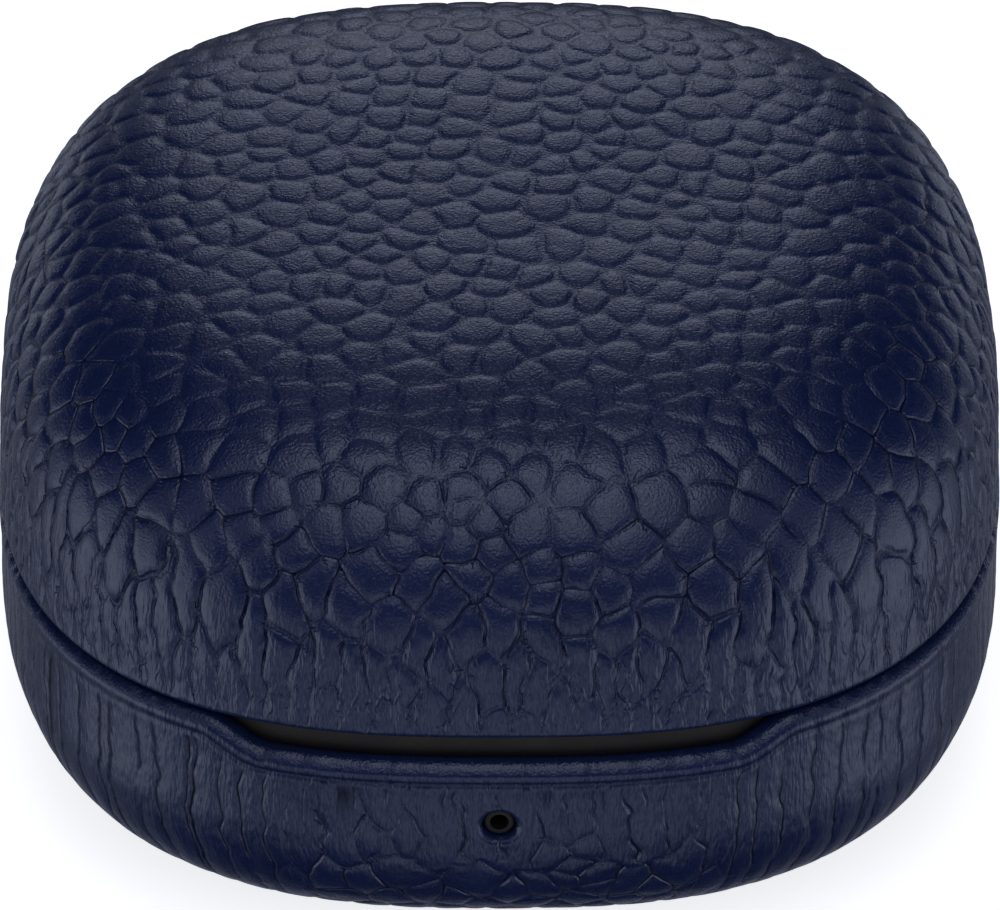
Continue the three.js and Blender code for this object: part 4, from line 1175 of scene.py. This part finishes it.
def finish_leather(piece, on_base, material):
    points = mesh_vectors(piece) / MM
    z, steep = points[:, 2], 1 - np.abs(mesh_vectors(piece, "vertex_normals", "vector")[:, 2])
    drum = wall_coordinates(points)
    round_it = np.arctan2(drum[:, 0], -drum[:, 1]) * OUTLINE_LENGTH / (2 * pi)
    joint = ease(0.6, 1.6, OUTLINE_LENGTH / 2 - np.abs(round_it))
    pebbled = base_pebbled(points) if on_base else np.ones(len(points))
    point_values(
        piece, drum=drum * MM, unrolled=np.stack([round_it, z, 0 * z], -1) * MM, pebbled=pebbled,
        wall=ease(0.45, 0.85, steep) * ease(26, 20, z), slope=ease(0.02, 0.25, steep),
        low=ease(22, 17.5, z) * (not on_base) * joint, creased=(1 - pebbled) * joint)
    piece.data.materials.clear()
    piece.data.materials.append(material)
    piece.data.polygons.foreach_set("material_index", np.zeros(len(piece.data.polygons), np.int32))
    smooth_shading(piece, 60)


def opaque(color, share=1.0):
    return tuple(share * each for each in color) + (1,)


def moulded(name, color, rough, grain=9.0, depth=0.006, wear=0.06):
    """Moulded plastic: spark-eroded grain, faint flow marks in its tone and patches polished by handling."""
    m = Nodes(name)
    flow = m.range(m.noise((0.22, 0.22, 0.08), 3.0, 0.55), 0.3, 0.7)
    return m.finish(
        m.bump(m.noise(grain, 1.0), depth),
        m.mix_color(flow, opaque(color, 0.72), opaque(color)),
        m.range(m.noise(0.35, 4.0, 0.6), 0.3, 0.7, rough - wear, rough + wear),
        **{"Specular Tint": PLASTIC_GLINT},
    )


def metal(name, color, rough, streak=(0.8, 6.0, 6.0), tarnish=0.75):
    """Metal with fine drawn streaks, uneven gloss and slight tarnish."""
    m = Nodes(name)
    drawn = m.noise(streak, 3.0, 0.6)
    stain = m.range(m.noise(0.9, 4.0, 0.6), 0.25, 0.65)
    return m.finish(
        m.bump(drawn, 0.006),
        m.mix_color(stain, opaque(color, tarnish), opaque(color)),
        m.range(drawn, 0.3, 0.7, rough - 0.06, rough + 0.1),
        Metallic=1.0,
    )


def circuit_board():
    """Solder mask over copper tracks, with bare plated holes."""
    m = Nodes("green_board")
    here = m.range(m.noise(0.5), 0.45, 0.55)
    track = m.times(m.math("MAXIMUM", m.stripes("X", 1.1, 0.25), m.stripes("Y", 1.4, 0.25)), here)
    dots = m.voronoi(m.place((0.55, 0.55, 0.1)), feature="F1")
    hole = m.math("SUBTRACT", 1.0, m.range(dots, 0.16, 0.2))
    mask = m.mix_color(track, (0.006, 0.045, 0.022, 1), (0.014, 0.105, 0.045, 1))
    return m.finish(
        m.bump(m.math("MAXIMUM", track, hole), 0.035),
        m.mix_color(hole, mask, (0.75, 0.52, 0.2, 1)),
        m.range(m.noise(3.0), 0.3, 0.7, 0.3, 0.42),
        Metallic=hole,
    )


def wound_copper():
    """A flat coil of enamelled wire, wound round the vertical axis."""
    m = Nodes("wound_copper")
    wire = m.wave("RINGS", "Z", 0.34)
    enamel = m.mix_color(m.noise(0.4, 3.0, 0.6), (0.42, 0.14, 0.05, 1), (0.66, 0.27, 0.11, 1))
    return m.finish(
        m.bump(wire, 0.16),
        # Painted shade: the colour darkens to near-black in the valleys between the wire's turns.
        m.mix_color(m.range(wire, 0.0, 0.35), (0.08, 0.025, 0.01, 1), enamel),
        m.range(wire, 0.0, 1.0, 0.5, 0.26),
        Metallic=1.0,
    )


def pouch_foil():
    """The cell's aluminium laminate: shallow crumples and fine rolling lines."""
    m = Nodes("pouch_foil")
    lines = m.noise((0.3, 7.0, 0.3))
    return m.finish(
        m.bump(lines, 0.01, m.bump(m.range(m.cracks(0.3), 0.0, 0.5), 0.12)),
        m.mix_color(m.noise(0.2, 3.0), (0.36, 0.38, 0.4, 1), (0.5, 0.52, 0.55, 1)),
        m.range(lines, 0.3, 0.7, 0.3, 0.42),
        Metallic=0.7,
    )


def flat_cable():
    """Amber film over copper tracks that run along it."""
    m = Nodes("amber_film")
    track, weave = m.stripes("X", 0.42, 0.5), m.noise((6.0, 1.0, 6.0))
    film = m.mix_color(weave, (0.32, 0.12, 0.015, 1), (0.44, 0.18, 0.03, 1))
    return m.finish(
        m.bump(track, 0.02),
        m.mix_color(track, film, (0.58, 0.27, 0.08, 1)),
        m.range(weave, 0.3, 0.7, 0.25, 0.38),
    )


def silicone():
    """Soft dark silicone with a dusty sheen."""
    m = Nodes("dark_silicone")
    dust = m.noise(1.2, 5.0, 0.65)
    return m.finish(
        m.bump(m.noise(7.0, 1.5), 0.008),
        m.mix_color(dust, (0.016, 0.017, 0.02, 1), (0.03, 0.031, 0.035, 1)),
        m.range(dust, 0.3, 0.7, 0.7, 0.86),
        **{"Sheen Weight": 0.25},
    )


navy = leather_material()
finish_leather(lid_skin, False, navy)
finish_leather(base_skin, True, navy)
finishes = {
    "cover_black": moulded("matt_black_cover", (0.0115, 0.0115, 0.012), 0.52, 7.0, 0.012),
    "case_black": moulded("satin_black_case", (0.009, 0.0095, 0.011), 0.34, 9.0, 0.004, 0.08),
    "tray_black": moulded("satin_black_tray", (0.013, 0.0135, 0.015), 0.42, 8.0, 0.008),
    "chip_black": moulded("chip_epoxy", (0.012, 0.012, 0.013), 0.45, 11.0, 0.008),
    "ferrite_grey": moulded("sintered_ferrite", (0.04, 0.041, 0.045), 0.62, 5.0, 0.02),
    "clear_guide": moulded("smoked_acrylic", (0.035, 0.037, 0.042), 0.16, 3.0, 0.002, 0.05),
    "steel": metal("drawn_steel", (0.56, 0.56, 0.58), 0.26),
    "spring_steel": metal("spring_wire", (0.42, 0.42, 0.44), 0.3, 5.0),
    "magnet_nickel": metal("nickel_plate", (0.58, 0.56, 0.52), 0.22, 2.0, 0.85),
    "gold": metal("gold_plate", (0.83, 0.58, 0.24), 0.2, 3.0, 0.85),
    "board_green": circuit_board(),
    "copper": wound_copper(),
    "cell_foil": pouch_foil(),
    "flex_amber": flat_cable(),
    "silicone": silicone(),
    "navy_leather": navy,
}
for node_name, node in frame["nodes"].items():
    for shown in (node, fine_pieces.get(node_name, node)):
        shown.data.materials.clear()
        shown.data.materials.append(finishes[slots[node_name]])


# ---- Floor, light and camera ----
FLOOR_REACH = 3.0
FLOOR_GAP = 0.00005  # under the case, so that the two don't share a plane


def add_floor():
    mesh = bpy.data.meshes.new("studio_floor")
    corners = [(x * FLOOR_REACH, y * FLOOR_REACH, 0) for x, y in ((-1, -1), (1, -1), (1, 1), (-1, 1))]
    mesh.from_pydata(corners, [], [(0, 1, 2, 3)])
    floor = bpy.data.objects.new("studio_floor", mesh)
    floor.location.z = cad_box[0][2] - FLOOR_GAP
    bpy.context.collection.objects.link(floor)
    m = Nodes("floor_white")
    m.feed(m.surface, {"Base Color": (0.85, 0.85, 0.86, 1), "Roughness": 0.7,
                       "Emission Color": (1, 1, 1, 1), "Emission Strength": 0.8})
    mesh.materials.append(m.material)
    floor.visible_diffuse = floor.visible_glossy = floor.visible_shadow = False


# Soft lights round the case: azimuth (0 in front, 90 to the right) and elevation in degrees, how tightly the
# light is gathered, and strength. Each has a twin on the left. Those below the horizon stand for light that
# a bright floor sends up.
SOFT_LIGHTS = (
    (180, 14, 60, 1.35), (180, 28, 60, 1.0), (180, 42, 60, 0.12), (180, 60, 30, 0.12),
    (0, 85, 30, 2.5), (0, 60, 30, 1.35), (0, 38, 30, 1.3), (40, 38, 30, 0.4), (60, 60, 30, 0.35),
    (65, 18, 30, 0.45), (60, -6, 30, 1.0), (92, -8, 30, 0.9), (115, -18, 30, 0.45),
    (152, -10, 60, 0.85), (158, -30, 30, 0.22),
    (0, -28, 30, 0.9), (30, -28, 30, 0.3), (60, -28, 30, 1.35), (90, -28, 30, 1.15),
    (0, -50, 30, 0.6), (120, -50, 30, 0.15), (180, -50, 30, 0.3),
)
LIGHT_COLOR = (0.87, 0.94, 1.16, 1)
CAMERA_RISE = 35.406
CAMERA_AWAY = 0.8461  # metres from the middle of the case


def facing(azimuth, elevation):
    """The unit vector towards an azimuth and elevation in degrees."""
    turn, rise = radians(azimuth), radians(elevation)
    return Vector((sin(turn) * cos(rise), -cos(turn) * cos(rise), sin(rise)))


def add_studio_light():
    """Lights the case from all round with soft lobes of light that fade into each other."""
    world = bpy.context.scene.world = bpy.data.worlds.new("soft_studio")
    m = Nodes("soft_studio", world)
    x, y, z = m.node("SeparateXYZ", {0: m.node("TexCoord").outputs["Generated"]}).outputs
    folded = m.node("CombineXYZ", {0: m.math("ABSOLUTE", x), 1: y, 2: z}).outputs[0]
    total = 0.0
    for azimuth, elevation, focus, strength in SOFT_LIGHTS:
        towards = m.node("VectorMath", {0: folded, 1: facing(azimuth, elevation)}, operation="DOT_PRODUCT")
        lobe = m.math("POWER", m.math("MAXIMUM", towards.outputs["Value"]), focus)
        total = m.math("MULTIPLY_ADD", lobe, strength, total)
    m.feed(m.surface, {"Strength": total, "Color": LIGHT_COLOR})


def add_camera():
    lens = bpy.data.cameras.new("camera")
    lens.sensor_width, lens.lens = 36, 567.1
    lens.shift_x, lens.shift_y = 0.00073, -0.01473
    lens.clip_start, lens.clip_end = 0.05, 20
    camera = bpy.data.objects.new("camera", lens)
    away = facing(0, CAMERA_RISE) * CAMERA_AWAY
    camera.location = Vector((0, 0, HEIGHT * MM / 2)) + away
    camera.rotation_euler = (-away).to_track_quat("-Z", "Y").to_euler()
    bpy.context.collection.objects.link(camera)
    bpy.context.scene.camera = camera


add_floor()
add_studio_light()
add_camera()
bpy.context.scene.view_settings.view_transform = "Standard"
